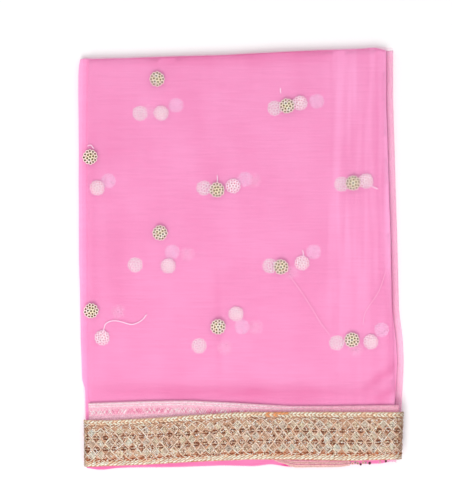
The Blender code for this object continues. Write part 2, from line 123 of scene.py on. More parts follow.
def dye(red, green, blue):
    """A colour of a swatch, 0 to 255, as Blender's linear light."""
    shares = np.array([red, green, blue]) / 255.0
    light = np.where(shares <= 0.04045, shares / 12.92, ((shares + 0.055) / 1.055) ** 2.4)
    return (*(float(value) for value in light), 1.0)


FLOOR_HALF, FLOOR_DROP = 3.0, 0.0002  # metres
FLOOR_PALE = (0.93, 0.93, 0.93, 1.0)
table_finish, _, table_shader = material("pale_table", 0.9)
table_shader.inputs["Base Color"].default_value = FLOOR_PALE
table_mesh = bpy.data.meshes.new("table_top")
corners = [(-1, -1), (1, -1), (1, 1), (-1, 1)]
table_points = [(x * FLOOR_HALF, y * FLOOR_HALF, -FLOOR_DROP) for x, y in corners]
table_mesh.from_pydata(table_points, [], [(0, 1, 2, 3)])
table_mesh.materials.append(table_finish)
table_top = bpy.data.objects.new("table_top", table_mesh)
bpy.context.scene.collection.objects.link(table_top)
print("table half width in m:", FLOOR_HALF)

# %% [markdown]
# The shape of the packet
#
# The solids were drawn from a few edges, each a row of points, and from a height for every
# place. The same edges are repeated here, so that the fine pieces lie exactly where their
# solids are. Straight runs between points would show as kinks, so each edge is eased.

# %% Edges and heights of the packet
WALL, GAP = 1.0, 0.3  # the solids' wall of cloth, and the air between two of them
FIELD_TOP, LEDGE = 11.0, 6.0  # heights of the field and of the top of the lower panels
RIM_END = LEDGE + GAP + 0.2  # how far down the top ply rolls
SPINE_RISE = LEDGE - 0.2  # how far up the bottom ply turns
LACE_HEIGHT = 50.8
RAMP_START_Y, RAMP_END_Y = -128.0, -150.0
INNER_LIFT, TOP_LIFT = 1.2, 2.5
DROOP_SLOPE, DROOP_EASE, DROOP_MOST = 0.12, 4.0, 2.0
LEFT_TURN, RIGHT_TURN, FAR_TURN = 3.0, 6.0, 2.5

LOWER_LEFT = ((218, -174.4), (203, -176.4), (8, -175.7), (-88, -173.9), (-135, -172.3),
              (-139, -169.0), (-224, -167.8))
TOP_LEFT = ((218, -171.4), (116, -172.3), (-45, -171.7), (-136, -171.0), (-168, -169.0),
            (-226, -168.5))
TOP_RIGHT = ((226, 165.0), (170, 165.0), (138, 166.0), (62, 168.2), (8, 169.9),
             (-56, 171.4), (-110, 173.4), (-168, 174.7), (-220, 172.6))
LOWER_RIGHT = ((226, 165.0), (170, 165.0), (138, 166.0), (62, 168.2), (8, 169.9),
               (-56, 171.4), (-88, 175.5), (-112, 176.6), (-137, 175.6), (-170, 173.6),
               (-202, 172.0), (-220, 168.0))
FAR_CREASE = ((-174, 218.0), (-163, 217.2), (-126, 218.0), (-87, 219.2), (-10, 221.4),
              (29, 223.6), (68, 225.4), (107, 226.8), (146, 228.0), (157, 229.4), (166, 226.8))
LOWER_NEAR = ((-168, -227.0), (-163, -229.4), (-126, -228.0), (-74, -227.6), (-22, -225.8),
              (16, -226.6), (35, -224.2), (55, -227.4), (108, -226.8), (120, -224.6),
              (162, -223.6), (172, -221.0))
TOP_LACE_UPPER = ((-169, -175.0), (-141, -175.0), (-98, -172.8), (-44, -169.0),
                  (-1, -166.3), (64, -165.8), (175, -166.3))
TOP_LACE_LOWER = ((-169, -225.6), (-98, -222.8), (-44, -219.6), (10, -217.4),
                  (64, -217.4), (118, -218.8), (175, -217.2))
SECOND_LACE_UPPER = ((-163, -156.6), (-98, -154.4), (-55, -153.9), (-1, -156.6),
                     (53, -159.8), (96, -159.8), (172, -158.8))
print("points of the far crease:", len(FAR_CREASE))

# %% [markdown]
# Reading the edges
#
# A few helpers find a place on an edge, and tell how high the packet is there. It rises
# over the hidden lace, and its near edge droops beyond the end of that lace. A crease is a
# line with a reach and a rise. The same shape also paints soft strokes of painted shade later.

# %% Places, heights and creases
EASE_OVER = (-4.0, -2.0, 0.0, 2.0, 4.0)


def mix(low, high, share):
    return low + (high - low) * share


def along(edge, places):
    """Where an edge runs at places along it, with its corners eased."""
    at, across = np.array(sorted(edge), float).T
    places = np.asarray(places, float)
    return np.mean([np.interp(places + shift, at, across) for shift in EASE_OVER], axis=0)


def swell(y):
    """Share of the rise over the hidden lace, from none in the field to all of it."""
    share = np.clip((RAMP_START_Y - y) / (RAMP_START_Y - RAMP_END_Y), 0.0, 1.0)
    return share * share * (3.0 - 2.0 * share)


def droop(x, y):
    """How far the near edge sinks beyond the end of the second lace."""
    past = np.maximum(along(SECOND_LACE_UPPER, x) - LACE_HEIGHT - GAP - y, 0.0)
    return np.minimum(DROOP_SLOPE * past * past / (past + DROOP_EASE), DROOP_MOST)


Crease = namedtuple("Crease", "x0 y0 x1 y1 reach rise")


def crease_rise(creases, x, y):
    """Height that a few creases add: full along each middle, none at its ends and sides."""
    total = np.zeros(np.broadcast(x, y).shape)
    for crease in creases:
        run_x, run_y = crease.x1 - crease.x0, crease.y1 - crease.y0
        length = math.hypot(run_x, run_y)
        forth = ((x - crease.x0) * run_x + (y - crease.y0) * run_y) / length
        aside = ((x - crease.x0) * run_y - (y - crease.y0) * run_x) / length
        taper = np.sin(math.pi * np.clip(forth / length, 0.0, 1.0))
        across = np.cos(0.5 * math.pi * np.clip(aside / crease.reach, -1.0, 1.0)) ** 2
        total += crease.rise * taper * across
    return total


def second_height(y):
    return FIELD_TOP - WALL - GAP + INNER_LIFT * swell(y)


def inner_height(y):
    return second_height(y) - WALL - GAP


print("height over the lace:", FIELD_TOP + TOP_LIFT, "and in the field:", FIELD_TOP)

# %% [markdown]
# Creases of the top ply
#
# Net is limp but springy. Its creases are shallow, of uneven length, and most run with the
# folds. Seven wide ones are in the solid. The finer ones are listed here, some of them as
# troughs, and none is deeper than the room above the ply below.

# %% Creases of the top ply
WIDE_CREASES = (
    Crease(-27, -6, -24, -146, 11, 0.9),
    Crease(120, 214, 126, -60, 15, 0.5),
    Crease(128, -146, 168, -118, 11, 0.8),
    Crease(26, 206, 96, 216, 12, 0.6),
    Crease(-150, 190, -146, -20, 13, 0.4),
    Crease(-130, -62, 20, -74, 14, 0.4),
    Crease(30, 40, 100, -70, 14, 0.4),
)
FINE_CREASES = (
    Crease(-30, 8, -27, -150, 3.2, -0.35),
    Crease(-18, -20, -20, -120, 4.5, -0.25),
    Crease(140, -140, 170, -112, 3.5, -0.40),
    Crease(150, -150, 174, -128, 4.0, 0.35),
    Crease(108, 220, 111, -30, 3.5, 0.22),
    Crease(116, 215, 118, 20, 3.0, -0.20),
    Crease(132, 222, 134, 60, 3.5, 0.20),
    Crease(143, 210, 147, -10, 5.0, -0.35),
    Crease(153, 224, 158, 40, 4.5, 0.30),
    Crease(-158, 205, -156, 40, 4.5, 0.22),
    Crease(-120, 206, 20, 211, 5.0, -0.30),
    Crease(40, 214, 150, 219, 4.0, -0.35),
    Crease(-130, -20, -40, -30, 7.0, 0.22),
    Crease(40, 110, 95, 40, 8.0, -0.22),
    Crease(-100, 130, -60, 20, 8.0, 0.20),
    Crease(-150, -132, -60, -136, 5.0, -0.30),
    Crease(-40, -134, 90, -138, 5.0, -0.30),
)


def top_height(x, y):
    """Height of the top ply's upper face, fine creases and all."""
    wide = crease_rise(WIDE_CREASES, x, y)
    fine = crease_rise(FINE_CREASES, x, y)
    return FIELD_TOP + TOP_LIFT * swell(y) + wide + fine - droop(x, y)


def top_flat_x(share, y):
    """Across the flat of the top ply, between the starts of its two side rolls."""
    return mix(along(TOP_LEFT, y) + LEFT_TURN, along(TOP_RIGHT, y) - RIGHT_TURN, share)


def on_top_ply(x, y, over_x, over_y, raised):
    """Points on the top ply, or raised off it. over_x and over_y tell how far round the
    side roll and the far roll a point lies: 0 is on the flat and 1 is at the rim."""
    x, y, over_x, over_y, raised = np.broadcast_arrays(x, y, over_x, over_y, raised)
    reach = np.maximum(np.abs(over_x), over_y)
    length = np.maximum(np.hypot(over_x, over_y), 1e-9)
    side_x, side_y = over_x / length, over_y / length
    side_turn = np.where(over_x < 0, LEFT_TURN, RIGHT_TURN)
    radius = side_turn * side_x**2 + FAR_TURN * side_y**2 + raised
    angle = 0.5 * math.pi * reach
    top = top_height(x, y) + raised
    out = radius * np.sin(angle)
    z = top - (top - RIM_END) * (1.0 - np.cos(angle))
    return np.stack([x + out * side_x, y + out * side_y, z], axis=-1)


def lace_y(x, down):
    """The line of the top lace that lies this far below its upper edge."""
    return mix(along(TOP_LACE_UPPER, x), along(TOP_LACE_LOWER, x), down / LACE_HEIGHT)


print("creases:", len(WIDE_CREASES), "wide and", len(FINE_CREASES), "fine")

# %% [markdown]
# Shader groups
#
# Three effects are wanted on more than one finish, so each is a node group that is built
# once: the open weave of net, the soft streaks that plies of net make together, and the
# twist of a metal-wrapped thread. A group only hands out masks and heights. Each finish
# decides what to do with them.

# %% A small kit for node groups
def node_group(name, inputs, outputs):
    """A new shader group with its named sockets, and its two end nodes."""
    tree = bpy.data.node_groups.new(name, "ShaderNodeTree")
    for socket, value in inputs:
        made = tree.interface.new_socket(socket, in_out="INPUT", socket_type="NodeSocketFloat")
        made.default_value = value
    for socket in outputs:
        tree.interface.new_socket(socket, in_out="OUTPUT", socket_type="NodeSocketFloat")
    return tree, tree.nodes.new("NodeGroupInput"), tree.nodes.new("NodeGroupOutput")


def wire(tree, value, socket):
    """Sets a socket to a plain value, or links an output to it."""
    if isinstance(value, bpy.types.NodeSocket):
        tree.links.new(value, socket)
    else:
        socket.default_value = value


def maths(tree, operation, *values):
    node = tree.nodes.new("ShaderNodeMath")
    node.operation = operation
    for value, socket in zip(values, node.inputs):
        wire(tree, value, socket)
    return node.outputs[0]


def remap(tree, value, from_low, from_high, to_low, to_high):
    """A value eased from one range to another."""
    node = tree.nodes.new("ShaderNodeMapRange")
    node.interpolation_type = "SMOOTHSTEP"
    for given, socket in zip((value, from_low, from_high, to_low, to_high), node.inputs):
        wire(tree, given, socket)
    return node.outputs[0]


def millimetres(tree):
    """The place on the object, in millimetres."""
    place = tree.nodes.new("ShaderNodeTexCoord").outputs["Object"]
    scaled = tree.nodes.new("ShaderNodeVectorMath")
    scaled.operation = "SCALE"
    wire(tree, place, scaled.inputs[0])
    scaled.inputs["Scale"].default_value = 1.0 / MM
    return scaled.outputs[0]


def noise(tree, place, scale, detail=1.0):
    node = tree.nodes.new("ShaderNodeTexNoise")
    wire(tree, place, node.inputs["Vector"])
    wire(tree, scale, node.inputs["Scale"])
    node.inputs["Detail"].default_value = detail
    return node.outputs["Fac"]


def combine(tree, x, y, z):
    node = tree.nodes.new("ShaderNodeCombineXYZ")
    for value, socket in zip((x, y, z), node.inputs):
        wire(tree, value, socket)
    return node.outputs[0]


def across_and_along(tree, place):
    """The x and the y of a place, for effects that lie flat on the packet."""
    node = tree.nodes.new("ShaderNodeSeparateXYZ")
    wire(tree, place, node.inputs[0])
    return node.outputs["X"], node.outputs["Y"]


print("node kit ready")

# %% [markdown]
# The net weave
#
# Soft net is knitted in tiny six-sided cells, about a millimetre across. Three sets of
# parallel lines at 60 degrees draw that lattice with no image. A little noise pushes the
# lines about, because no cell of real net is quite like its neighbour.

# %% Group: net weave
weave_tree, weave_in, weave_out = node_group(
    "net_weave", (("Cell Size", 1.0), ("Thread Width", 0.3), ("Wander", 0.35)), ("Threads",)
)
weave_place = millimetres(weave_tree)
weave_push = maths(
    weave_tree, "MULTIPLY",
    maths(weave_tree, "SUBTRACT", noise(weave_tree, weave_place, 0.16), 0.5),
    weave_in.outputs["Wander"],
)
weave_x, weave_y = across_and_along(weave_tree, weave_place)
weave_lines = []
for turn in (0.0, 60.0, 120.0):
    run = maths(
        weave_tree, "ADD",
        maths(weave_tree, "MULTIPLY", weave_x, math.cos(math.radians(turn))),
        maths(weave_tree, "MULTIPLY", weave_y, math.sin(math.radians(turn))),
    )
    run = maths(weave_tree, "ADD", run, weave_push)
    cell = maths(weave_tree, "DIVIDE", run, weave_in.outputs["Cell Size"])
    from_line = maths(weave_tree, "PINGPONG", cell, 0.5)
    half_width = maths(weave_tree, "MULTIPLY", weave_in.outputs["Thread Width"], 0.5)
    weave_lines.append(remap(weave_tree, from_line, 0.0, half_width, 1.0, 0.0))
weave_threads = maths(
    weave_tree, "MAXIMUM", maths(weave_tree, "MAXIMUM", *weave_lines[:2]), weave_lines[2]
)
wire(weave_tree, weave_threads, weave_out.inputs["Threads"])
print("group made:", weave_tree.name)

# %% [markdown]
# Streaks and ribs
#
# Where several plies of net lie on each other, their weaves beat together and draw soft
# bars: short level streaks all over, and upright ribs where a ply is pulled a little. The
# effect is faint, and noise that is stretched one way gives it.

# %% Group: ply streaks
RIB_LENGTH = 150.0
RIBS_FROM_X, RIBS_FULL_X, RIBS_LEFT = 86.0, 106.0, 0.12  # ribs show mostly at the right
RIBS_FROM_Y, RIBS_FULL_Y, RIBS_NEAR = -150.0, 40.0, 0.35  # and more at the far side
CLOUD_WIDE, CLOUD_HIGH = 55.0, 75.0

streak_tree, streak_in, streak_out = node_group(
    "ply_streaks",
    (("Streak Length", 34.0), ("Streak Height", 3.4), ("Rib Spacing", 8.5)),
    ("Streaks", "Ribs", "Clouds"),
)
streak_x, streak_y = across_and_along(streak_tree, millimetres(streak_tree))
streak_place = combine(
    streak_tree,
    maths(streak_tree, "DIVIDE", streak_x, streak_in.outputs["Streak Length"]),
    maths(streak_tree, "DIVIDE", streak_y, streak_in.outputs["Streak Height"]),
    0.0,
)
streaks = remap(streak_tree, noise(streak_tree, streak_place, 1.0, 1.5), 0.32, 0.68, 0.0, 1.0)
rib_place = combine(
    streak_tree,
    maths(streak_tree, "DIVIDE", streak_x, streak_in.outputs["Rib Spacing"]),
    maths(streak_tree, "DIVIDE", streak_y, RIB_LENGTH),
    0.0,
)
ribs = remap(streak_tree, noise(streak_tree, rib_place, 1.0, 1.0), 0.34, 0.66, 0.0, 1.0)
rib_zone = maths(
    streak_tree, "MULTIPLY",
    remap(streak_tree, streak_x, RIBS_FROM_X, RIBS_FULL_X, RIBS_LEFT, 1.0),
    remap(streak_tree, streak_y, RIBS_FROM_Y, RIBS_FULL_Y, RIBS_NEAR, 1.0),
)
cloud_place = combine(
    streak_tree,
    maths(streak_tree, "DIVIDE", streak_x, CLOUD_WIDE),
    maths(streak_tree, "DIVIDE", streak_y, CLOUD_HIGH),
    0.0,
)
clouds = remap(streak_tree, noise(streak_tree, cloud_place, 1.0, 2.0), 0.3, 0.7, 0.0, 1.0)
wire(streak_tree, streaks, streak_out.inputs["Streaks"])
wire(streak_tree, maths(streak_tree, "MULTIPLY", ribs, rib_zone), streak_out.inputs["Ribs"])
wire(streak_tree, clouds, streak_out.inputs["Clouds"])
print("group made:", streak_tree.name)

# %% [markdown]
# Metal-wrapped thread
#
# Zari is a thread with a flat gold strip wound round it. Close up it has slanting ridges
# and small glints. Two slanted sets of fine lines and some speckle are enough for that.

# %% Group: zari twist
twist_tree, twist_in, twist_out = node_group(
    "zari_twist", (("Pitch", 0.55), ("Lean", 0.7)), ("Height", "Speckle")
)
twist_place = millimetres(twist_tree)
twist_x, twist_y = across_and_along(twist_tree, twist_place)
twist_sets = []
for sign in (1.0, -1.0):
    run = maths(
        twist_tree, "MULTIPLY_ADD",
        maths(twist_tree, "MULTIPLY", twist_x, twist_in.outputs["Lean"]), sign, twist_y,
    )
    turn = maths(twist_tree, "DIVIDE", run, twist_in.outputs["Pitch"])
    twist_sets.append(remap(twist_tree, maths(twist_tree, "PINGPONG", turn, 0.5), 0.0, 0.5, 0.0, 1.0))
wire(twist_tree, maths(twist_tree, "MAXIMUM", *twist_sets), twist_out.inputs["Height"])
speckle = remap(twist_tree, noise(twist_tree, twist_place, 1.4, 2.0), 0.35, 0.65, 0.0, 1.0)
wire(twist_tree, speckle, twist_out.inputs["Speckle"])
print("group made:", twist_tree.name)

# %% [markdown]
# Finishes of the net
#
# One ply of net hides only part of what is under it. The finish is a soft pink shader whose
# Alpha follows the weave: more where a thread runs, less in the cells. Plies cast no
# shadow on each other here, which is how light that passes through net and bounces about
# looks in the end.

# %% Finishes: net
NET_PALE, NET_DEEP = dye(254, 170, 216), dye(240, 137, 187)
STREAKS_ADD, CLOUDS_ADD, RIBS_ADD = 0.12, 0.22, -0.40  # to the shade of the net; ribs are pale


def place_group(tree, group_tree, **values):
    """Puts a group in a material, with its own values, and returns its outputs."""
    node = tree.nodes.new("ShaderNodeGroup")
    node.node_tree = group_tree
    for name, value in values.items():
        node.inputs[name.replace("_", " ")].default_value = value
    return node.outputs


def blend_colours(tree, share, low, high):
    """A colour between two, by a share that changes over the surface."""
    node = tree.nodes.new("ShaderNodeMix")
    node.data_type = "RGBA"
    node.clamp_factor = False
    # a Mix node has sockets for every kind of data, and those for colours are 6 and 7
    wire(tree, share, node.inputs[0])
    wire(tree, low, node.inputs[6])
    wire(tree, high, node.inputs[7])
    return node.outputs[2]


def painted(tree, name):
    """A mask that was painted on the mesh, point by point."""
    node = tree.nodes.new("ShaderNodeAttribute")
    node.attribute_name = name
    return node.outputs


def bump(tree, shader, height, strength, distance):
    node = tree.nodes.new("ShaderNodeBump")
    node.inputs["Strength"].default_value = strength
    node.inputs["Distance"].default_value = distance
    wire(tree, height, node.inputs["Height"])
    wire(tree, node.outputs["Normal"], shader.inputs["Normal"])


def net_finish(name, pale, deep, cell_alpha, thread_alpha, cell_size, streak_length):
    """Net of one ply. Its painted shade, 0 to 1, moves it from pale to deep."""
    made, tree, shader = material(name, 0.75)
    soft = place_group(tree, streak_tree, Streak_Length=streak_length)
    share = maths(tree, "MULTIPLY_ADD", soft["Streaks"], STREAKS_ADD, painted(tree, "shade")["Fac"])
    share = maths(tree, "MULTIPLY_ADD", soft["Clouds"], CLOUDS_ADD, share)
    share = maths(tree, "MULTIPLY_ADD", soft["Ribs"], RIBS_ADD, share)
    wire(tree, blend_colours(tree, share, pale, deep), shader.inputs["Base Color"])
    shader.inputs["Sheen Weight"].default_value = 0.25
    shader.inputs["Sheen Roughness"].default_value = 0.4
    shader.inputs["Specular IOR Level"].default_value = 0.2
    if thread_alpha < 1.0 or cell_alpha < 1.0:
        threads = place_group(tree, weave_tree, Cell_Size=cell_size)["Threads"]
        alpha = remap(tree, threads, 0.0, 1.0, cell_alpha, thread_alpha)
        wire(tree, alpha, shader.inputs["Alpha"])
    bump(tree, shader, soft["Streaks"], 0.25, 0.0004)
    return made


top_net = net_finish("sheer_top_net", NET_PALE, NET_DEEP, 0.05, 0.13, 1.0, 34.0)
second_net = net_finish("sheer_second_net", NET_PALE, NET_DEEP, 0.02, 0.08, 1.15, 26.0)
bottom_net = net_finish("sheer_bottom_net", NET_PALE, NET_DEEP, 0.27, 0.42, 1.0, 30.0)
packed_net = net_finish("packed_net", NET_PALE, NET_DEEP, 1.0, 1.0, 1.0, 40.0)
print("net finishes:", [m.name for m in (top_net, second_net, bottom_net, packed_net)])

# %% [markdown]
# Making sheets
#
# A ply is a grid of points, and the Solidify modifier gives it its thickness. Each sheet
# also gets a painted shade, which says where the cloth looks deeper or paler.

# %% Sheets from grids
def add_piece(name, points, faces, finish, crisp_angle=60.0):
    """Adds a mesh whose points are in millimetres."""
    mesh = bpy.data.meshes.new(name)
    mesh.from_pydata((np.asarray(points, float) * MM).tolist(), [], faces)
    mesh.materials.append(finish)
    mesh.shade_smooth()
    mesh.set_sharp_from_angle(angle=math.radians(crisp_angle))
    mesh.update()
    piece = bpy.data.objects.new(name, mesh)
    bpy.context.scene.collection.objects.link(piece)
    return piece


def paint(piece, name, values):
    """Paints a mask on a mesh, point by point."""
    mask = piece.data.attributes.new(name, "FLOAT", "POINT")
    mask.data.foreach_set("value", np.asarray(values, np.float32).ravel())


def grid_faces(rows, columns):
    """Quads of a grid whose points run row by row, from left to right."""
    number = np.arange(rows * columns).reshape(rows, columns)
    quads = (number[:-1, :-1], number[:-1, 1:], number[1:, 1:], number[1:, :-1])
    return np.stack(quads, axis=-1).reshape(-1, 4).tolist()


def thicken(piece, thick, behind=True):
    wall = piece.modifiers.new("wall", "SOLIDIFY")
    wall.thickness = thick * MM
    wall.offset = -1.0 if behind else 1.0


def dress(piece, finish_slot, *stands_for):
    """Fixes a piece to the packet and hides the solids it stands for; finish_slot is not used."""
    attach(piece, "root")
    if stands_for:
        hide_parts(*stands_for)


def let_light_through(*pieces):
    for piece in pieces:
        piece.visible_shadow = False


print("sheet kit ready")

# %% [markdown]
# The top ply
#
# The panel that shows is flat in the middle and rolls over at both sides and at the far
# crease. Its rows follow the lace at the near side, then the rise, then the field. The
# shade is painted shade from soft strokes, each a line with a reach, much as creases are
# made. They deepen the pink along creases and slopes that lie in shade, and partly where
# more plies lie together.

# %% Painted shades of the plies
# painted shade: the far crease, the rise over the hidden lace, the creases and the right side
SHADES = (
    Crease(-170, 213, 165, 221, 13, 0.42),
    Crease(-172, 217, 168, 226, 6, 0.25),
    Crease(-190, -144, 190, -147, 14, 0.62),
    Crease(140, 260, 148, -40, 6, 0.30),
    Crease(149, 300, 154, -60, 10, 0.34),
    Crease(128, -146, 172, -112, 8, 0.55),
    Crease(136, -160, 180, -132, 7, 0.40),
    Crease(-27, 0, -24, -150, 6, 0.30),
    Crease(158, 0, 164, -160, 9, 0.40),
    Crease(-160, 240, -158, -180, 8, 0.22),
    Crease(-140, 180, -136, -120, 26, 0.16),
    Crease(-60, 200, -20, 40, 22, 0.15),
)
BASE_SHADE = 0.36


def cloth_shade(x, y):
    return BASE_SHADE + crease_rise(SHADES, x, y)


print("soft strokes:", len(SHADES))

# %% Piece: top ply
ROLL_STEPS = 8
FLAT_COLUMNS = 150
SHEER_THICK = 0.3


def side_columns(flat_columns):
    """Each column's share of the flat, and how far round a side roll it is."""
    roll = np.arange(1, ROLL_STEPS + 1) / ROLL_STEPS
    flat = np.linspace(0, 1, flat_columns + 1)
    share = np.concatenate([np.zeros(ROLL_STEPS), flat, np.ones(ROLL_STEPS)])
    over = np.concatenate([-roll[::-1], np.zeros(flat_columns + 1), roll])
    return share, over


top_share, top_over = side_columns(FLAT_COLUMNS)
top_x = top_flat_x(top_share, 0.0)
top_rows = [(lace_y(top_x, down), 0.0) for down in np.linspace(LACE_HEIGHT, 0, 12)]
lace_top = lace_y(top_x, 0.0)
top_rows += [(mix(lace_top, RAMP_END_Y, step), 0.0) for step in np.linspace(0, 1, 9)[1:]]
for ramp_y in np.linspace(RAMP_END_Y, RAMP_START_Y, 12)[1:]:
    top_rows.append((np.full_like(top_x, ramp_y), 0.0))
top_far = along(FAR_CREASE, top_x) - FAR_TURN
top_rows += [(mix(RAMP_START_Y, top_far, step), 0.0) for step in np.linspace(0, 1, 151)[1:]]
top_rows += [(top_far, step) for step in np.linspace(0, 1, ROLL_STEPS + 1)[1:]]
top_points, top_shade = [], []
for row_y, row_over in top_rows:
    row_x = top_flat_x(top_share, row_y)
    top_points.append(on_top_ply(row_x, row_y, top_over, row_over, 0.0))
    top_shade.append(cloth_shade(row_x, row_y))
top_ply = add_piece(
    "top_ply_net", np.concatenate(top_points), grid_faces(len(top_rows), len(top_share)), top_net
)
paint(top_ply, "shade", np.concatenate(top_shade))
thicken(top_ply, SHEER_THICK)
dress(top_ply, "sheer_net", "top_ply")
let_light_through(top_ply)
print("top ply points:", len(top_ply.data.vertices))

# %% [markdown]
# The second ply
#
# Under the top ply lies the other half of the lengthwise fold. It stops short of every
# edge, so a paler margin shows round it where there is one ply less.

# %% Piece: second ply
SECOND_LEFT, SECOND_RIGHT, SECOND_FAR = 4.5, 7.0, 3.4
SECOND_CREASES = (
    Crease(-60, 190, -52, -60, 8, -0.25),
    Crease(70, 150, 84, -80, 9, -0.22),
    Crease(-130, -100, 40, -112, 8, -0.22),
    Crease(20, 200, 120, 120, 9, -0.20),
)


def second_surface(x, y):
    return second_height(y) + crease_rise(SECOND_CREASES, x, y)


def second_across(y, past=0.0):
    """The left and the right edge of the second ply, or of a lace that runs past it."""
    return along(TOP_LEFT, y) + SECOND_LEFT, along(TOP_RIGHT, y) - SECOND_RIGHT + past


second_columns = np.linspace(0, 1, 91)
second_x = mix(*second_across(0.0), second_columns)
second_near = along(SECOND_LACE_UPPER, second_x) - LACE_HEIGHT
second_far = along(FAR_CREASE, second_x) - SECOND_FAR
second_rows = [mix(second_near, RAMP_END_Y, step) for step in np.linspace(0, 1, 9)]
second_rows += [np.full_like(second_x, y) for y in np.linspace(RAMP_END_Y, RAMP_START_Y, 9)[1:]]
second_rows += [mix(RAMP_START_Y, second_far, step) for step in np.linspace(0, 1, 91)[1:]]
second_points, second_shade = [], []
for row_y in second_rows:
    row_x = mix(*second_across(row_y), second_columns)
    second_points.append(np.stack([row_x, row_y, second_surface(row_x, row_y)], axis=-1))
    second_shade.append(cloth_shade(row_x, row_y))
second_ply = add_piece(
    "second_ply_net", np.concatenate(second_points),
    grid_faces(len(second_rows), len(second_columns)), second_net,
)
paint(second_ply, "shade", np.concatenate(second_shade))
thicken(second_ply, SHEER_THICK)
dress(second_ply, "sheer_net", "second_ply")
let_light_through(second_ply)
print("second ply points:", len(second_ply.data.vertices))

# %% [markdown]
# The hidden plies
#
# Ten plies lie under the two that we see into, five panels of two. Nobody can tell them
# apart from above, so they are one body, but its edge shows every fold: a roll for each
# ply, a deeper groove between panels, and each roll wanders in and out a little, because
# hand folding is never exact.

# %% Border of the hidden plies
Layer = namedtuple("Layer", "thick left right far near")
LOWER_BASE = 0.5
LOWER_THICK = (LEDGE - LOWER_BASE) / 3
LOWER_LAYERS = (
    Layer(LOWER_THICK, 0.4, 8.0, 1.4, 1.8),
    Layer(LOWER_THICK, 1.6, 7.2, 0.9, 0.9),
    Layer(LOWER_THICK, 0.0, 9.0, 1.8, 1.3),
)
UPPER_THICK = (FIELD_TOP - 2 * (WALL + GAP) - LEDGE) / 2
UPPER_LAYERS = (Layer(UPPER_THICK, 5.0, 7.6, 2.4, 1.2), Layer(UPPER_THICK, 6.0, 8.4, 3.0, 2.2))
PANEL_NOTCH, PLY_NOTCH = 0.9, 0.5
# the lower plies hang out at the near left corner, by the sag and up to MOST times as far
CORNER_SAG, CORNER_SAG_FROM, CORNER_REACH, CORNER_SAG_MOST = 1.7, -136.0, 22.0, 1.6
CORNER_DRAW = 0.6  # how far each corner of a panel is drawn in
INNER_COLUMNS = 56
INNER_RAMP = np.linspace(RAMP_END_Y, RAMP_START_Y, 6)
INNER_FIELD = np.linspace(0, 1, 61)[1:]
INNER_ROWS = len(INNER_RAMP) + len(INNER_FIELD)


def panel_points(layer, upper, inset, column, row):
    """Where grid points of a hidden panel lie in plan, drawn in by an inset."""
    share = column / INNER_COLUMNS
    left_edge, right_edge = (TOP_LEFT, TOP_RIGHT) if upper else (LOWER_LEFT, LOWER_RIGHT)
    near_edge = TOP_LACE_LOWER if upper else LOWER_NEAR
    is_corner = ((column == 0) | (column == INNER_COLUMNS)) & ((row == 0) | (row == INNER_ROWS))
    inset = inset + np.where(is_corner, CORNER_DRAW, 0.0)
    x = mix(along(left_edge, 0.0), along(right_edge, 0.0), share)
    levels = np.concatenate([[0.0], INNER_RAMP, np.zeros(len(INNER_FIELD))])[row]
    field = np.concatenate([np.zeros(1 + len(INNER_RAMP)), INNER_FIELD])[row]
    y_field = mix(RAMP_START_Y, along(FAR_CREASE, x) - layer.far - inset, field)
    toward_corner = np.clip((CORNER_SAG_FROM - x) / CORNER_REACH, 0.0, CORNER_SAG_MOST)
    sag = 0.0 if upper else CORNER_SAG * toward_corner
    y_near = along(near_edge, x) + layer.near + inset - sag
    y = np.where(row == 0, y_near, np.where(field > 0, y_field, levels))
    left = along(left_edge, y) + layer.left + inset
    right = along(right_edge, y) - layer.right - inset
    return mix(left, right, share), y


def border():
    """Column and row of each point round the grid, anticlockwise from the near left."""
    near = [(column, 0) for column in range(INNER_COLUMNS)]
    right = [(INNER_COLUMNS, row) for row in range(INNER_ROWS)]
    far = [(column, INNER_ROWS) for column in range(INNER_COLUMNS, 0, -1)]
    left = [(0, row) for row in range(INNER_ROWS, 0, -1)]
    return np.array(near + right + far + left).T


border_column, border_row = border()
border_length = len(border_column)
print("points round the hidden plies:", border_length)

# %% [markdown]
# Rolls of the hidden plies
#
# Each panel is two plies, and each ply's fold is a small roll: it comes out of a groove,
# bulges and goes back. So a panel is a stack of eight rings round the same border, each
# drawn in by its own amount, and every ply strays a little in its own waves.

# %% Rings of the hidden plies
WAVES = ((3, 0.14), (7, 0.12), (17, 0.09), (29, 0.06))  # waves round the packet, and their reach
STRAY_MIDDLE = 0.15
wander_dice = random.Random(4)


def wander():
    """How far one ply's edge strays in and out, all the way round."""
    place = np.arange(border_length) / border_length * 2.0 * math.pi
    total = np.zeros(border_length)
    for waves, reach in WAVES:
        total += reach * np.sin(waves * place + wander_dice.uniform(0, 6.28))
    return total + STRAY_MIDDLE


def panel_rings(layer, upper, foot_of, top_of):
    """Rings up a panel of two plies: a groove, a roll, a shallower groove, a roll."""
    rings = []
    for ply in range(2):
        stray = wander()
        groove = PANEL_NOTCH if ply == 0 else PLY_NOTCH
        for up, inset in ((0.0, groove), (0.14, 0.22), (0.25, 0.08), (0.36, 0.22)):
            own = inset + (stray if up else 0.0)
            x, y = panel_points(layer, upper, own, border_column, border_row)
            z = mix(foot_of(y), top_of(y), 0.5 * ply + up)
            rings.append(np.stack([x, y, z], axis=-1))
    return rings


def level(height):
    return lambda y: np.full_like(y, height)


def middle_height(y):
    return LEDGE + UPPER_THICK + 0.5 * INNER_LIFT * swell(y)


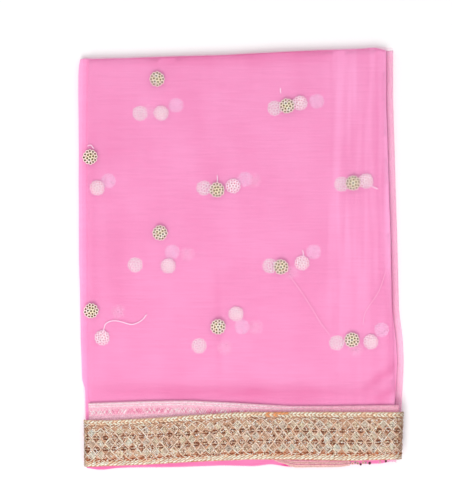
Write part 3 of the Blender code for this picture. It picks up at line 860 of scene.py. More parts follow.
inner_rings = []
foot = LOWER_BASE
for layer in LOWER_LAYERS:
    inner_rings += panel_rings(layer, False, level(foot), level(foot + layer.thick))
    foot += layer.thick
first_upper, last_upper = UPPER_LAYERS
ledge_x, ledge_y = panel_points(LOWER_LAYERS[-1], False, PANEL_NOTCH, border_column, border_row)
inner_rings.append(np.stack([ledge_x, ledge_y, np.full_like(ledge_x, LEDGE)], axis=-1))
inner_rings += panel_rings(first_upper, True, level(LEDGE), middle_height)
inner_rings += panel_rings(last_upper, True, middle_height, inner_height)
print("rings up the hidden plies:", len(inner_rings))

# %% [markdown]
# Joining the rings
#
# The rings are joined by quads into a wall, a grid closes the top and one face closes the
# foot, so the piece is solid. Its paint is paler at the side rims: painted light where light
# comes through from the table, which at the right rim also lifts the shade of the wall. It
# is deeper at the near rim, a painted shadow under the lace's edge. One short stretch of the
# near edge is lifted, and a deeper painted shadow there shows its shaded underside.

# %% Piece: hidden plies
cap_column, cap_row = np.meshgrid(np.arange(INNER_COLUMNS + 1), np.arange(INNER_ROWS + 1))
cap_x, cap_y = panel_points(last_upper, True, 0.5, cap_column.ravel(), cap_row.ravel())
cap_points = np.stack([cap_x, cap_y, inner_height(cap_y)], axis=-1)

cap_number = np.arange(len(cap_points)).reshape(INNER_ROWS + 1, INNER_COLUMNS + 1)
inner_faces = grid_faces(INNER_ROWS + 1, INNER_COLUMNS + 1)
inner_points = [cap_points]
ring_numbers = []
first_free = len(cap_points)
for ring in inner_rings:
    ring_numbers.append(np.arange(first_free, first_free + border_length))
    inner_points.append(ring)
    first_free += border_length
ring_numbers.append(cap_number[border_row, border_column])
for lower, upper_ring in zip(ring_numbers, ring_numbers[1:]):
    after, above_after = np.roll(lower, -1), np.roll(upper_ring, -1)
    inner_faces += np.stack([lower, after, above_after, upper_ring], axis=-1).tolist()
inner_faces.append(ring_numbers[0][::-1].tolist())
inner_points = np.concatenate(inner_points)
inner_plies = add_piece("folded_plies", inner_points, inner_faces, packed_net, 80.0)

RIM_FADE, RIGHT_RIM_IN = 5.0, 8.0
NEAR_RIM_FROM, NEAR_RIM_FADE = -214.0, 6.0
LEFT_RIM_LIGHT, RIGHT_RIM_LIGHT, NEAR_RIM_SHADOW, UNDERSIDE_SHADOW = 0.45, 0.75, 0.9, 1.3
LIFTED_AT, LIFTED_REACH = 50.0, 9.0


def lifted(x):
    """Share of the lift of the near edge and of its painted shadow: full in its middle, none beyond its
    reach.
    """
    return np.clip(1.0 - np.abs(x - LIFTED_AT) / LIFTED_REACH, 0.0, 1.0)


inner_x, inner_y = inner_points.T[:2]
left_rim = 1.0 - np.clip((inner_x - along(LOWER_LEFT, inner_y)) / RIM_FADE, 0, 1)
right_rim = 1.0 - np.clip((along(LOWER_RIGHT, inner_y) - RIGHT_RIM_IN - inner_x) / RIM_FADE, 0, 1)
near_rim = np.clip((NEAR_RIM_FROM - inner_y) / NEAR_RIM_FADE, 0, 1)
# the side rims get painted light; the near rim and the lifted stretch get painted shadow
inner_shade = cloth_shade(inner_x, inner_y) - LEFT_RIM_LIGHT * left_rim - RIGHT_RIM_LIGHT * right_rim
inner_shade = inner_shade + (NEAR_RIM_SHADOW + UNDERSIDE_SHADOW * lifted(inner_x)) * near_rim
paint(inner_plies, "shade", inner_shade)
dress(inner_plies, "folded_net", "inner_layers")
print("hidden plies:", len(inner_points), "points and", len(inner_faces), "faces")

# %% [markdown]
# The bottom ply
#
# The packet lies on its back panel, which turns up at the right to join the top ply. It is
# thin enough for the pale table to show through where nothing else lies on it.

# %% Piece: bottom ply
BOTTOM_CREASES = (
    Crease(-90, 180, -70, -160, 7, 0.10),
    Crease(40, 200, 60, -60, 8, 0.12),
    Crease(-150, -90, 90, -110, 7, 0.10),
    Crease(110, 120, 150, -150, 6, 0.08),
)
# the turned-up rim is painted paler: painted light over the shade that falls there
BOTTOM_SHADE, SPINE_RIM_LIGHT = 0.6, 0.3
BOTTOM_LEFT, BOTTOM_FAR = 0.6, 1.6  # how far it stops short of the packet's outline
BOTTOM_COLUMNS, BOTTOM_ROWS = 81, 71
bottom_share = np.concatenate([np.linspace(0, 1, BOTTOM_COLUMNS), np.ones(ROLL_STEPS)])
bottom_over = np.concatenate([np.zeros(BOTTOM_COLUMNS), np.arange(1, ROLL_STEPS + 1) / ROLL_STEPS])
bottom_x = mix(along(LOWER_LEFT, 0.0), along(LOWER_RIGHT, 0.0), bottom_share)
bottom_points, bottom_shade = [], []
bottom_steps = np.linspace(0, 1, BOTTOM_ROWS)
for step in bottom_steps:
    row_y = mix(along(LOWER_NEAR, bottom_x), along(FAR_CREASE, bottom_x) - BOTTOM_FAR, step)
    left = along(LOWER_LEFT, row_y) + BOTTOM_LEFT
    right = along(LOWER_RIGHT, row_y) - RIGHT_TURN
    angle = 0.5 * math.pi * bottom_over
    row_x = mix(left, right, bottom_share) + RIGHT_TURN * np.sin(angle)
    row_z = SPINE_RISE * (1.0 - np.cos(angle)) + crease_rise(BOTTOM_CREASES, row_x, row_y)
    bottom_points.append(np.stack([row_x, row_y, row_z], axis=-1))
    bottom_shade.append(BOTTOM_SHADE - SPINE_RIM_LIGHT * (bottom_over > 0))
bottom_ply = add_piece(
    "bottom_ply_net", np.concatenate(bottom_points),
    grid_faces(len(bottom_steps), len(bottom_share)), bottom_net,
)
paint(bottom_ply, "shade", np.concatenate(bottom_shade))
thicken(bottom_ply, SHEER_THICK, behind=False)
dress(bottom_ply, "folded_net", "bottom_ply")
let_light_through(bottom_ply)
print("bottom ply points:", len(bottom_ply.data.vertices))

# %% [markdown]
# Finishes of the lace
#
# The lace is woven and couched with zari. All its threads share one finish that takes its
# dye from the mesh, because each small stroke of thread has its own tint. Towards both
# ends, where the lace rolls over the fold, its dye turns browner.

# %% Finishes: zari lace
LACE_BROWN = dye(118, 66, 34)
SPECKLE_BROWN, TWIST_DEPTH = 0.38, 0.00025  # the depth is in metres


def zari_finish(name, roughness, metallic, pitch, brown_ends):
    made, tree, shader = material(name, roughness, metallic)
    own_dye = painted(tree, "dye")["Color"]
    twist = place_group(tree, twist_tree, Pitch=pitch)
    browner = maths(tree, "MULTIPLY", twist["Speckle"], SPECKLE_BROWN)
    deeper = blend_colours(tree, browner, own_dye, LACE_BROWN)
    if brown_ends:
        deeper = blend_colours(tree, painted(tree, "end")["Fac"], deeper, LACE_BROWN)
    wire(tree, deeper, shader.inputs["Base Color"])
    shader.inputs["Specular IOR Level"].default_value = 0.2
    bump(tree, shader, twist["Height"], 0.5, TWIST_DEPTH)
    return made


lace_ground_finish = zari_finish("zari_ground", 0.55, 0.20, 0.8, True)
lace_thread_finish = zari_finish("zari_thread", 0.42, 0.20, 0.5, True)
pale_lace_finish = zari_finish("pale_zari", 0.6, 0.05, 0.7, False)
print("lace finishes:", [m.name for m in (lace_ground_finish, lace_thread_finish, pale_lace_finish)])

# %% [markdown]
# Laying things on the lace
#
# Everything on the lace is first made flat, as if the ribbon lay on a bench: across it runs
# s, down it runs d, and height is h. One function then lays those points on the top ply,
# round its rolls. A small basket gathers many strokes of thread into one piece.

# %% Flat lace and its strokes
LACE_MIDDLE_Y = -200.0
LACE_LOW = along(TOP_LEFT, LACE_MIDDLE_Y) + LEFT_TURN
LACE_HIGH = along(TOP_RIGHT, LACE_MIDDLE_Y) - RIGHT_TURN
LACE_FLAT = float(LACE_HIGH - LACE_LOW)
LEFT_ARC, RIGHT_ARC = 7.6, 10.0
HALF_CELLS = 68
HALF_CELL = LACE_FLAT / HALF_CELLS
LACE_BASE = GAP + 0.85
END_HUG = 0.5  # how much closer the lace lies where it goes round the left roll


def on_lace(points, base=LACE_BASE):
    """Lays flat points (s, d, h) on the top ply's lace."""
    s, down, raised = np.asarray(points, float).T
    share = np.clip(s / LACE_FLAT, 0.0, 1.0)
    over = np.where(s < 0, s / LEFT_ARC, np.maximum(s - LACE_FLAT, 0.0) / RIGHT_ARC)
    y = lace_y(top_flat_x(share, -170.0), down)
    base = base - END_HUG * np.clip(-over, 0.0, 1.0)
    return on_top_ply(top_flat_x(share, y), y, np.clip(over, -1.0, 1.0), 0.0, base + raised)


END_BROWN = 0.46
LEFT_BROWN_FROM, LEFT_BROWN_OVER = 5.0, 7.0
RIGHT_BROWN_FROM, RIGHT_BROWN_OVER = 5.5, 9.0


def brown_end(points):
    """Painted mask of the two browner ends of the lace."""
    s = np.asarray(points, float)[:, 0]
    left = 1.0 - np.clip((s + LEFT_BROWN_FROM) / LEFT_BROWN_OVER, 0, 1)
    right = 1.0 - np.clip((LACE_FLAT + RIGHT_BROWN_FROM - s) / RIGHT_BROWN_OVER, 0, 1)
    return END_BROWN * np.maximum(left, right)


print("lace lies flat over mm:", round(LACE_FLAT, 1), "with cells of", round(2 * HALF_CELL, 2))

# %% [markdown]
# Strokes of thread
#
# A ribbon of zari is thousands of short threads. Each one here is a stroke: a small tube
# along a path, flat or arched, thinner at both ends. The basket keeps each stroke's own
# dye, since no two threads catch the light alike, and turns them all out as one piece.

# %% Strokes and the basket
class Basket:
    """Gathers small meshes, each with its own dye, into one."""

    def __init__(self):
        self.points, self.faces, self.dyes, self.count = [], [], [], 0

    def add(self, points, faces, colour):
        self.points.append(points)
        self.faces += [[corner + self.count for corner in face] for face in faces]
        colour = np.broadcast_to(np.asarray(colour, float), (len(points), 4))
        self.dyes.append(colour)
        self.count += len(points)

    def flat_points(self):
        return np.concatenate(self.points)

    def turn_out(self, name, finish, lay, crisp_angle=60.0):
        """Makes the piece, with its flat points laid in place by a function."""
        flat = self.flat_points()
        piece = add_piece(name, lay(flat), self.faces, finish, crisp_angle)
        paint_dye(piece, np.concatenate(self.dyes))
        return piece


def paint_dye(piece, colours):
    layer = piece.data.attributes.new("dye", "FLOAT_COLOR", "POINT")
    layer.data.foreach_set("color", np.asarray(colours, np.float32).ravel())


STROKE_END = 0.45  # a stroke's thickness at its ends


def stroke(path, half_width, half_height, sides=6):
    """A thread along a flat path of points (s, d, h), tapered at both ends."""
    path = np.asarray(path, float)
    forth = np.gradient(path, axis=0)
    aside = np.stack([-forth[:, 1], forth[:, 0]], axis=-1)
    aside /= np.maximum(np.linalg.norm(aside, axis=1, keepdims=True), 1e-9)
    turn = np.arange(sides) / sides * 2.0 * math.pi
    taper = np.ones(len(path))
    taper[[0, -1]] = STROKE_END
    wide = half_width * taper[:, None] * np.cos(turn)
    high = half_height * taper[:, None] * np.sin(turn)
    points = np.stack(
        [path[:, None, 0] + aside[:, None, 0] * wide,
         path[:, None, 1] + aside[:, None, 1] * wide,
         path[:, None, 2] + high], axis=-1,
    ).reshape(-1, 3)
    faces = []
    for step in range(len(path) - 1):
        for side in range(sides):
            after = (side + 1) % sides
            first, second = step * sides, (step + 1) * sides
            faces.append([first + side, second + side, second + after, first + after])
    faces.append(list(range(sides)))
    faces.append([(len(path) - 1) * sides + side for side in reversed(range(sides))])
    return points, faces


def arched(start, end, height, steps=5):
    """A path from start to end that rises to a height in its middle."""
    share = np.linspace(0, 1, steps)
    path = mix(np.array(start)[None, :], np.array(end)[None, :], share[:, None])
    path[:, 2] += height * np.sin(math.pi * share)
    return path


dice = random.Random(21)


def tinted(colour, spread):
    """One thread's own tint of a colour."""
    light = 1.0 + dice.uniform(-spread, spread)
    return [min(value * light, 1.0) for value in colour[:3]] + [1.0]


def lay_on_lace(basket, name, crisp_angle=60.0):
    """Turns a basket out on the top lace, brown ends and all."""
    piece = basket.turn_out(name, lace_thread_finish, on_lace, crisp_angle)
    paint(piece, "end", brown_end(basket.flat_points()))
    dress(piece, "zari_lace")
    return piece


print("strokes taper to a share of:", STROKE_END)

# %% [markdown]
# The ground of the lace
#
# The woven ground is a sheet of its own, two inches high. It swells a little under the
# braids and sinks at the stitch lines. Its dye goes from tan to brown where the holes of
# the stitch lines and the zigzag lie: painted shade for the dark in those holes.

# %% Piece: lace ground
BRAID, ZIGZAG, DIAMOND = 5.5, 2.9, 10.0
STITCH_LINE, LAST_DIAMOND, COPPER = 2.2, 10.6, 1.9
ROW_STARTS = (BRAID + ZIGZAG, BRAID + ZIGZAG + DIAMOND + STITCH_LINE,
              BRAID + ZIGZAG + 2 * (DIAMOND + STITCH_LINE))
ROW_HEIGHTS = (DIAMOND, DIAMOND, LAST_DIAMOND)
STITCH_MIDDLES = tuple(start + DIAMOND + STITCH_LINE / 2 for start in ROW_STARTS[:2])
COPPER_MIDDLE = ROW_STARTS[2] + LAST_DIAMOND + COPPER / 2
UPPER_EDGE_SINK = 0.35  # the stitched upper edge is pulled down on to the ply
TAN, TAN_HOLE_SHADE, COPPER_DYE = dye(208, 162, 134), dye(112, 54, 30), dye(200, 104, 58)

GROUND_COLUMNS, GROUND_ROWS = 421, 63
ground_s = np.linspace(-LEFT_ARC, LACE_FLAT + RIGHT_ARC, GROUND_COLUMNS)
ground_down = np.linspace(0.0, LACE_HEIGHT, GROUND_ROWS)
ground_grid = np.stack(np.meshgrid(ground_s, ground_down[::-1]), axis=-1).reshape(-1, 2)
flat_s, flat_down = ground_grid.T


def band(down, middle, half):
    """How much a place belongs to a band across the lace, 0 to 1."""
    return np.clip(1.0 - np.abs(down - middle) / half, 0.0, 1.0)


# each swell or dip of the ground: its middle, half its width, and its height
GROUND_BANDS = (
    (BRAID / 2, 3.4, 0.30), (LACE_HEIGHT - BRAID / 2, 3.4, 0.30),
    (STITCH_MIDDLES[0], 1.8, -0.22), (STITCH_MIDDLES[1], 1.8, -0.22),
    (BRAID + 1.2, 2.0, -0.22), (COPPER_MIDDLE, 1.5, -0.10), (0.0, 0.9, -UPPER_EDGE_SINK),
)
ground_relief = sum(height * band(flat_down, middle, half) for middle, half, height in GROUND_BANDS)
print("relief of the ground in mm:", ground_relief.min().round(2), ground_relief.max().round(2))

# %% Dye and piece of the lace ground
cell_phase = np.cos(math.pi * flat_s / HALF_CELL)
ground_hole_shade = 0.12 * band(flat_down, BRAID + 0.8, 1.6)
for middle in STITCH_MIDDLES:
    ground_hole_shade += band(flat_down, middle, 2.4) * np.clip(0.5 + 0.5 * cell_phase, 0, 1)
ground_copper = band(flat_down, COPPER_MIDDLE, 3.0)
ground_dye = mix(np.array(TAN), np.array(TAN_HOLE_SHADE), np.clip(ground_hole_shade, 0, 1)[:, None])
ground_dye = mix(ground_dye, np.array(COPPER_DYE), 0.8 * ground_copper[:, None])
ground_flat = np.column_stack([flat_s, flat_down, ground_relief])
lace_ground = add_piece(
    "top_lace_ground", on_lace(ground_flat),
    grid_faces(len(ground_down), len(ground_s)), lace_ground_finish,
)
paint_dye(lace_ground, ground_dye)
paint(lace_ground, "end", brown_end(ground_flat))
thicken(lace_ground, 0.5)
dress(lace_ground, "zari_lace", "top_lace")
let_light_through(lace_ground)
print("ground points:", len(ground_flat))

# %% [markdown]
# Satin diamonds
#
# Each cell holds a diamond of satin stitch, laid thread beside thread, so it is slightly
# domed and ribbed. They are nearly all one shape, the last row a little taller, but each
# gets its own tint and a small slip.

# %% Piece: satin diamonds
SILVER, SILVER_WARM = dye(255, 236, 218), dye(255, 208, 174)
PAD_STEPS = 10
PAD_WIDE, PAD_HIGH, PAD_DOME, PAD_SLIP = 0.94, 0.48, 0.40, 0.25  # wide and high in cells
# the grooves between satin threads are darkened: painted shade
PAD_LIFT, RIDGE_LIFT, PAD_SINK, GROOVE_SHADE = 0.14, 0.09, 0.06, 0.42
pad_grid = np.linspace(-1, 1, PAD_STEPS + 1)
pad_p, pad_q = (values.ravel() for values in np.meshgrid(pad_grid, pad_grid))
pad_faces = grid_faces(PAD_STEPS + 1, PAD_STEPS + 1)
pad_number = np.arange(len(pad_p)).reshape(PAD_STEPS + 1, PAD_STEPS + 1)
pad_rim = np.concatenate([
    pad_number[0], pad_number[1:, -1], pad_number[-1, -2::-1], pad_number[-2:0:-1, 0],
])
pad_faces.append(pad_rim[::-1].tolist())
pad_column = np.tile(np.arange(PAD_STEPS + 1), PAD_STEPS + 1)
pad_ridge = np.where(pad_column % 2 == 1, 1.0, 0.0)


def diamond_pad(middle_s, middle_down, half_wide, half_high, dome):
    """Points of one satin diamond, closed underneath."""
    crown = (1.0 - pad_p**2) * (1.0 - pad_q**2)
    inside = np.where((np.abs(pad_p) < 0.99) & (np.abs(pad_q) < 0.99), 1.0, 0.0)
    return np.column_stack([
        middle_s + half_wide * (pad_p + pad_q) / 2,
        middle_down + half_high * (pad_q - pad_p) / 2,
        dome * crown + inside * (PAD_LIFT + RIDGE_LIFT * pad_ridge) - PAD_SINK,
    ])


pads = Basket()
cells = range(-1, HALF_CELLS + 2, 2)
for start, height in zip(ROW_STARTS, ROW_HEIGHTS):
    for cell in cells:
        slip_s, slip_down = dice.uniform(-PAD_SLIP, PAD_SLIP), dice.uniform(-PAD_SLIP, PAD_SLIP)
        points = diamond_pad(
            cell * HALF_CELL + slip_s, start + height / 2 + slip_down,
            PAD_WIDE * HALF_CELL, PAD_HIGH * height, PAD_DOME,
        )
        tint = np.array(tinted(mix(np.array(SILVER), np.array(SILVER_WARM), dice.random()), 0.18))
        threads = np.array([dice.uniform(0.64, 1.30) for _ in range(PAD_STEPS + 1)])[pad_column]
        colours = tint[None, :] * (np.where(pad_ridge > 0, 1.0, GROOVE_SHADE) * threads)[:, None]
        colours[:, 3] = 1.0
        pads.add(points, pad_faces, np.minimum(colours, 1.0))
lace_pads = lay_on_lace(pads, "top_lace_diamonds", 30.0)
print("diamonds:", len(ROW_STARTS) * len(cells))

# %% [markdown]
# Crossing threads
#
# Pairs of thick peach threads run slantwise down the lace and cross between the diamonds.
# Their crossings climb over the stitch lines. Every crossing point slips a little, so no
# two meshes of the lattice are alike.

# %% Piece: crossing threads
PEACH, CREAM, SAND = dye(255, 222, 200), dye(255, 244, 226), dye(232, 182, 150)
SLIP_ALONG, SLIP_DOWN, CROSSING_LIFT, OVER_LIFT = 0.35, 0.22, 0.34, 0.12
THREAD_HALF_HIGH = 0.26
crossing_levels = (
    BRAID + 0.7,
    ROW_STARTS[0] + 0.2,
    ROW_STARTS[0] + DIAMOND / 2,
    STITCH_MIDDLES[0],
    ROW_STARTS[1] + DIAMOND / 2,
    STITCH_MIDDLES[1],
    ROW_STARTS[2] + LAST_DIAMOND / 2,
    ROW_STARTS[2] + LAST_DIAMOND - 0.2,
    COPPER_MIDDLE + 1.1,
)
lattice = Basket()
crossings = {}
for number, down in enumerate(crossing_levels):
    for cell in range(-2, HALF_CELLS + 3):
        if (cell + number) % 2 == 0:
            s = cell * HALF_CELL + dice.uniform(-SLIP_ALONG, SLIP_ALONG)
            slipped_down = down + dice.uniform(-SLIP_DOWN, SLIP_DOWN)
            crossings[cell, number] = np.array([s, slipped_down, CROSSING_LIFT])
for (cell, number), crossing in sorted(crossings.items()):
    for lean in (-1, 1):
        other = crossings.get((cell + lean, number + 1))
        if other is None:
            continue
        for twin in (-1.0, 1.0):
            part = twin * dice.uniform(0.20, 0.34)
            shift = np.array([part, 0.0, OVER_LIFT if lean > 0 else 0.0])
            path = arched(crossing + shift, other + shift, dice.uniform(0.10, 0.28))
            tint = tinted(dice.choice((PEACH, PEACH, CREAM, SAND)), 0.20)
            lattice.add(*stroke(path, dice.uniform(0.28, 0.42), THREAD_HALF_HIGH), tint)
lace_lattice = lay_on_lace(lattice, "top_lace_crossing_threads")
print("thread strokes:", len(lattice.points))

# %% [markdown]
# Stitch lines
#
# Between the rows of diamonds runs a pair of light threads, with short rows of dark holes
# above and below them, midway between the crossings. The holes are modelled as short dark
# stitches, painted shade for the holes, which read the same and stay solid. Now and then a
# bright blob on the light threads is a painted highlight.

# %% Piece: stitch lines
HOLE_SHADOW_DARK, HOLE_SHADE_AND_THREAD_BROWN, HIGHLIGHT_CREAM = dye(88, 22, 4), dye(140, 58, 26), dye(255, 250, 238)
COUCHED_DYES = (PEACH, dye(240, 202, 172), dye(212, 160, 126))
DASH_PARTS = (-2.9, -1.5, 0.0, 1.5, 2.9)  # places of the dark stitches about a cell's middle
DASH_ASIDE, DASH_CURVE, DASH_HALF, DASH_MISSED = 1.62, 0.12, 0.58, 0.12
LIGHT_INSET, LIGHT_STEP, LIGHT_LONG, LIGHT_ASIDE, LIGHT_HIGHLIGHT_SHARE = 0.4, 2.45, 2.7, 0.36, 0.16
dashes, couched = Basket(), Basket()
for middle in STITCH_MIDDLES:
    for cell in range(-2, HALF_CELLS + 3, 2):
        if not -0.6 * LEFT_ARC < cell * HALF_CELL < LACE_FLAT + 0.7 * RIGHT_ARC:
            continue
        for side in (-1.0, 1.0):
            for part in DASH_PARTS:
                if dice.random() < DASH_MISSED:
                    continue
                place = cell * HALF_CELL + part + dice.uniform(-0.2, 0.2)
                aside = DASH_ASIDE - DASH_CURVE * abs(part)
                down = middle + side * aside + dice.uniform(-0.12, 0.12)
                start, end = (place - DASH_HALF, down, 0.06), (place + DASH_HALF, down, 0.06)
                path = arched(start, end, 0.18, 4)
                tint = HOLE_SHADOW_DARK if dice.random() < 0.65 else HOLE_SHADE_AND_THREAD_BROWN
                dashes.add(*stroke(path, 0.78, 0.24), tinted(tint, 0.3))
    line_s = np.arange(-LEFT_ARC + LIGHT_INSET, LACE_FLAT + RIGHT_ARC - LIGHT_INSET, LIGHT_STEP)
    for side in (-1.0, 1.0):
        for first in line_s[:-1]:
            down = middle + side * LIGHT_ASIDE
            end_down = down + dice.uniform(-0.1, 0.1)
            path = arched((first, down, 0.10), (first + LIGHT_LONG, end_down, 0.10), 0.22, 4)
            couched.add(*stroke(path, 0.34, 0.24), tinted(dice.choice(COUCHED_DYES), 0.2))
    for cell in range(0, HALF_CELLS + 1, 2):
        if dice.random() < LIGHT_HIGHLIGHT_SHARE:
            place = cell * HALF_CELL + dice.uniform(-1.2, 1.2)
            path = arched((place - 0.6, middle, 0.25), (place + 0.6, middle, 0.25), 0.25, 4)
            couched.add(*stroke(path, 0.5, 0.35, 8), HIGHLIGHT_CREAM)
lace_dashes = lay_on_lace(dashes, "top_lace_hole_shade_stitches")
lace_couched = lay_on_lace(couched, "top_lace_light_stitches")
print("dark stitches:", len(dashes.points), "light stitches:", len(couched.points))

# %% [markdown]
# Braids and the copper line
#
# Both long edges of the lace are braided, each with two rows of plump slanting strokes and
# a fine cord beside them. The rows of the upper braid lean opposite ways, like an ear of
# wheat, and those of the lower one lean the same way. The copper line above the lower braid
# is the same idea, small and dark.

# %% Piece: braids
BRAID_CREAM, BRAID_GOLD = dye(255, 246, 224), dye(255, 220, 188)
BRAID_ORANGE = dye(240, 164, 108)
WORN_FROM, WORN_TO, WORN_SHARE = 191.0, 216.0, 0.7  # an orange stretch of the upper braid
BRAID_FOOT, BRAID_HALF_HIGH, BRAID_INSET, FIRST_DYE_SHARE = 0.16, 0.34, 0.8, 0.68
braids = Basket()


def braid_row(middle, pitch, half_long, half_high, lean, width, height, colours, spread):
    """One row of plump strokes along the lace."""
    for first in np.arange(-LEFT_ARC + BRAID_INSET, LACE_FLAT + RIGHT_ARC - BRAID_INSET, pitch):
        place = first + dice.uniform(-0.5, 0.5)
        down = middle + dice.uniform(-0.3, 0.3)
        path = arched(
            (place - half_long, down + lean * half_high, BRAID_FOOT),
            (place + half_long, down - lean * half_high, BRAID_FOOT), height, 5,
        )
        colour = colours[0] if dice.random() < FIRST_DYE_SHARE else colours[1]
        if WORN_FROM < place < WORN_TO and middle < BRAID and dice.random() < WORN_SHARE:
            colour = BRAID_ORANGE
        braids.add(*stroke(path, width, BRAID_HALF_HIGH), tinted(colour, spread))


# each row's middle, pitch, half length and half height, its lean, width and rise, its dyes
# and the spread of their tints
BRAID_ROWS = (
    (1.7, 4.1, 2.0, 1.05, 1.0, 0.82, 0.55, (BRAID_CREAM, BRAID_GOLD), 0.16),
    (4.1, 4.1, 2.0, 0.95, -1.0, 0.72, 0.50, (BRAID_CREAM, BRAID_GOLD), 0.16),
    (0.35, 2.6, 1.4, 0.10, 1.0, 0.30, 0.18, (BRAID_GOLD, BRAID_GOLD), 0.16),
    (LACE_HEIGHT - 4.2, 4.6, 2.4, 1.00, 1.0, 0.70, 0.50, (BRAID_CREAM, BRAID_GOLD), 0.16),
    (LACE_HEIGHT - 1.9, 4.6, 2.4, 1.00, 1.0, 0.78, 0.55, (BRAID_CREAM, BRAID_CREAM), 0.16),
    (LACE_HEIGHT - 0.35, 2.5, 1.4, 0.12, 1.0, 0.30, 0.16, (BRAID_GOLD, BRAID_ORANGE), 0.16),
    (COPPER_MIDDLE - 0.5, 3.1, 1.2, 0.60, -1.0, 0.66, 0.30, (COPPER_DYE, HOLE_SHADE_AND_THREAD_BROWN), 0.30),
    (COPPER_MIDDLE + 0.9, 4.3, 1.1, 0.35, 1.0, 0.48, 0.26, (COPPER_DYE, BRAID_GOLD), 0.30),
)
for row in BRAID_ROWS:
    braid_row(*row)
lace_braids = lay_on_lace(braids, "top_lace_braids")
print("braid strokes:", len(braids.points))

# %% [markdown]
# Glints and dark gaps
#
# The flat strip of a zari thread catches the light wherever it happens to turn face up, and
# leaves a dark gap where it turns on edge. Short strokes of painted highlight and painted
# shade, sown over the whole lace, give that restless sparkle. One darker spot marks a
# pulled thread: painted shade in the small hole it leaves.

# %% Piece: glints
GLINTS, GAPS = 1750, 1650
GLINT_LIFT, GAP_LIFT, GLINT_HALF_HIGH, GLINT_LEAN = 0.62, 0.50, 0.14, 0.8
GLINT_DYES = (dye(255, 255, 248), dye(255, 240, 206), dye(255, 224, 206))
GAP_SHADE_DYES = (dye(112, 58, 34), dye(140, 80, 50), dye(92, 52, 36))
PULLED_S, PULLED_DOWN = 201.0, 25.4
glints = Basket()
for count, dyes, raised in ((GLINTS, GLINT_DYES, GLINT_LIFT), (GAPS, GAP_SHADE_DYES, GAP_LIFT)):
    for _ in range(count):
        place = dice.uniform(-0.7 * LEFT_ARC, LACE_FLAT + 0.7 * RIGHT_ARC)
        down = dice.uniform(BRAID - 1.0, LACE_HEIGHT - BRAID + 1.0)
        lean, reach = dice.choice((-1.0, 1.0)), dice.uniform(0.45, 0.95)
        slant = GLINT_LEAN * lean * reach
        path = arched(
            (place - reach, down - slant, raised), (place + reach, down + slant, raised), 0.1, 3
        )
        thread = stroke(path, dice.uniform(0.34, 0.55), GLINT_HALF_HIGH, 5)
        glints.add(*thread, tinted(dice.choice(dyes), 0.12))
for lean in (-1.0, 1.0):
    path = arched(
        (PULLED_S - 1.1, PULLED_DOWN - lean, 0.72), (PULLED_S + 1.1, PULLED_DOWN + lean, 0.72), 0.1, 3
    )
    glints.add(*stroke(path, 1.1, 0.2), HOLE_SHADOW_DARK)
lace_glints = lay_on_lace(glints, "top_lace_glints")
print("glints and gaps:", len(glints.points))

# %% [markdown]
# The second lace
#
# The lace of the second ply lies just above the gold band and under the top ply, so it
# shows as a pale pink band: a smooth braid, a slanting texture, a lighter row. It is turned
# face down there, so its threads are pale.

# %% Piece: second lace
PALE_ROSE, PALE_PINK, PALE_WHITE = dye(255, 212, 226), dye(255, 222, 230), dye(255, 250, 248)
ROSE_PATTERN_AND_SHADE, RIGHT_PINK = dye(242, 150, 180), dye(250, 162, 192)
LACE_PAST = 3.2  # the lace runs a little past the second ply at the right
SECOND_LOW, SECOND_HIGH = second_across(-165.0, LACE_PAST)
SECOND_WIDTH = float(SECOND_HIGH - SECOND_LOW)
SECOND_THICK = 0.4


def on_second_lace(points):
    """Lays flat points (s, d, h) on the second ply's lace."""
    s, down, raised = np.asarray(points, float).T
    share = np.clip(s / SECOND_WIDTH, 0.0, 1.0)
    y = along(SECOND_LACE_UPPER, mix(SECOND_LOW, SECOND_HIGH, share)) - down
    x = mix(*second_across(y, LACE_PAST), share)
    return np.stack([x, y, second_height(y) + GAP + SECOND_THICK + raised], axis=-1)


PINKER_MOST, PINKER_FROM, PINKER_OVER = 0.6, 0.42, 0.35


def pinker_right(s):
    """How much the lace turns to a deeper pink, from its middle to its right."""
    return PINKER_MOST * np.clip((s / SECOND_WIDTH - PINKER_FROM) / PINKER_OVER, 0.0, 1.0)


second_s = np.linspace(0, SECOND_WIDTH, 161)
second_down = np.linspace(0.0, LACE_HEIGHT - GAP, 45)
second_grid = np.stack(np.meshgrid(second_s, second_down[::-1]), axis=-1).reshape(-1, 2)
second_flat = np.column_stack([second_grid, 0.12 * band(second_grid[:, 1], 3.0, 3.6)])
SLANT_MIDDLE, SLANT_REACH = 10.4, 5.4  # the slanting texture, and how far its shade goes
# a painted shadow line just above the gold lace; the slanting texture is the lace's own deeper pink
SHADOW_LINE_MIDDLE, SHADOW_LINE_REACH = 20.4, 1.6
second_pattern_and_shade = 0.50 * band(second_grid[:, 1], SLANT_MIDDLE, SLANT_REACH)
second_pattern_and_shade += 0.30 * band(second_grid[:, 1], SHADOW_LINE_MIDDLE, SHADOW_LINE_REACH)
second_dye = mix(np.array(PALE_ROSE), np.array(ROSE_PATTERN_AND_SHADE), np.clip(second_pattern_and_shade, 0, 1)[:, None])
second_dye = mix(second_dye, np.array(RIGHT_PINK), pinker_right(second_grid[:, 0])[:, None])
second_lace = add_piece(
    "second_lace_ground", on_second_lace(second_flat),
    grid_faces(len(second_down), len(second_s)), pale_lace_finish,
)
paint_dye(second_lace, second_dye)
thicken(second_lace, SECOND_THICK)
dress(second_lace, "zari_lace", "second_lace")
print("width of the second lace in mm:", round(SECOND_WIDTH, 1))

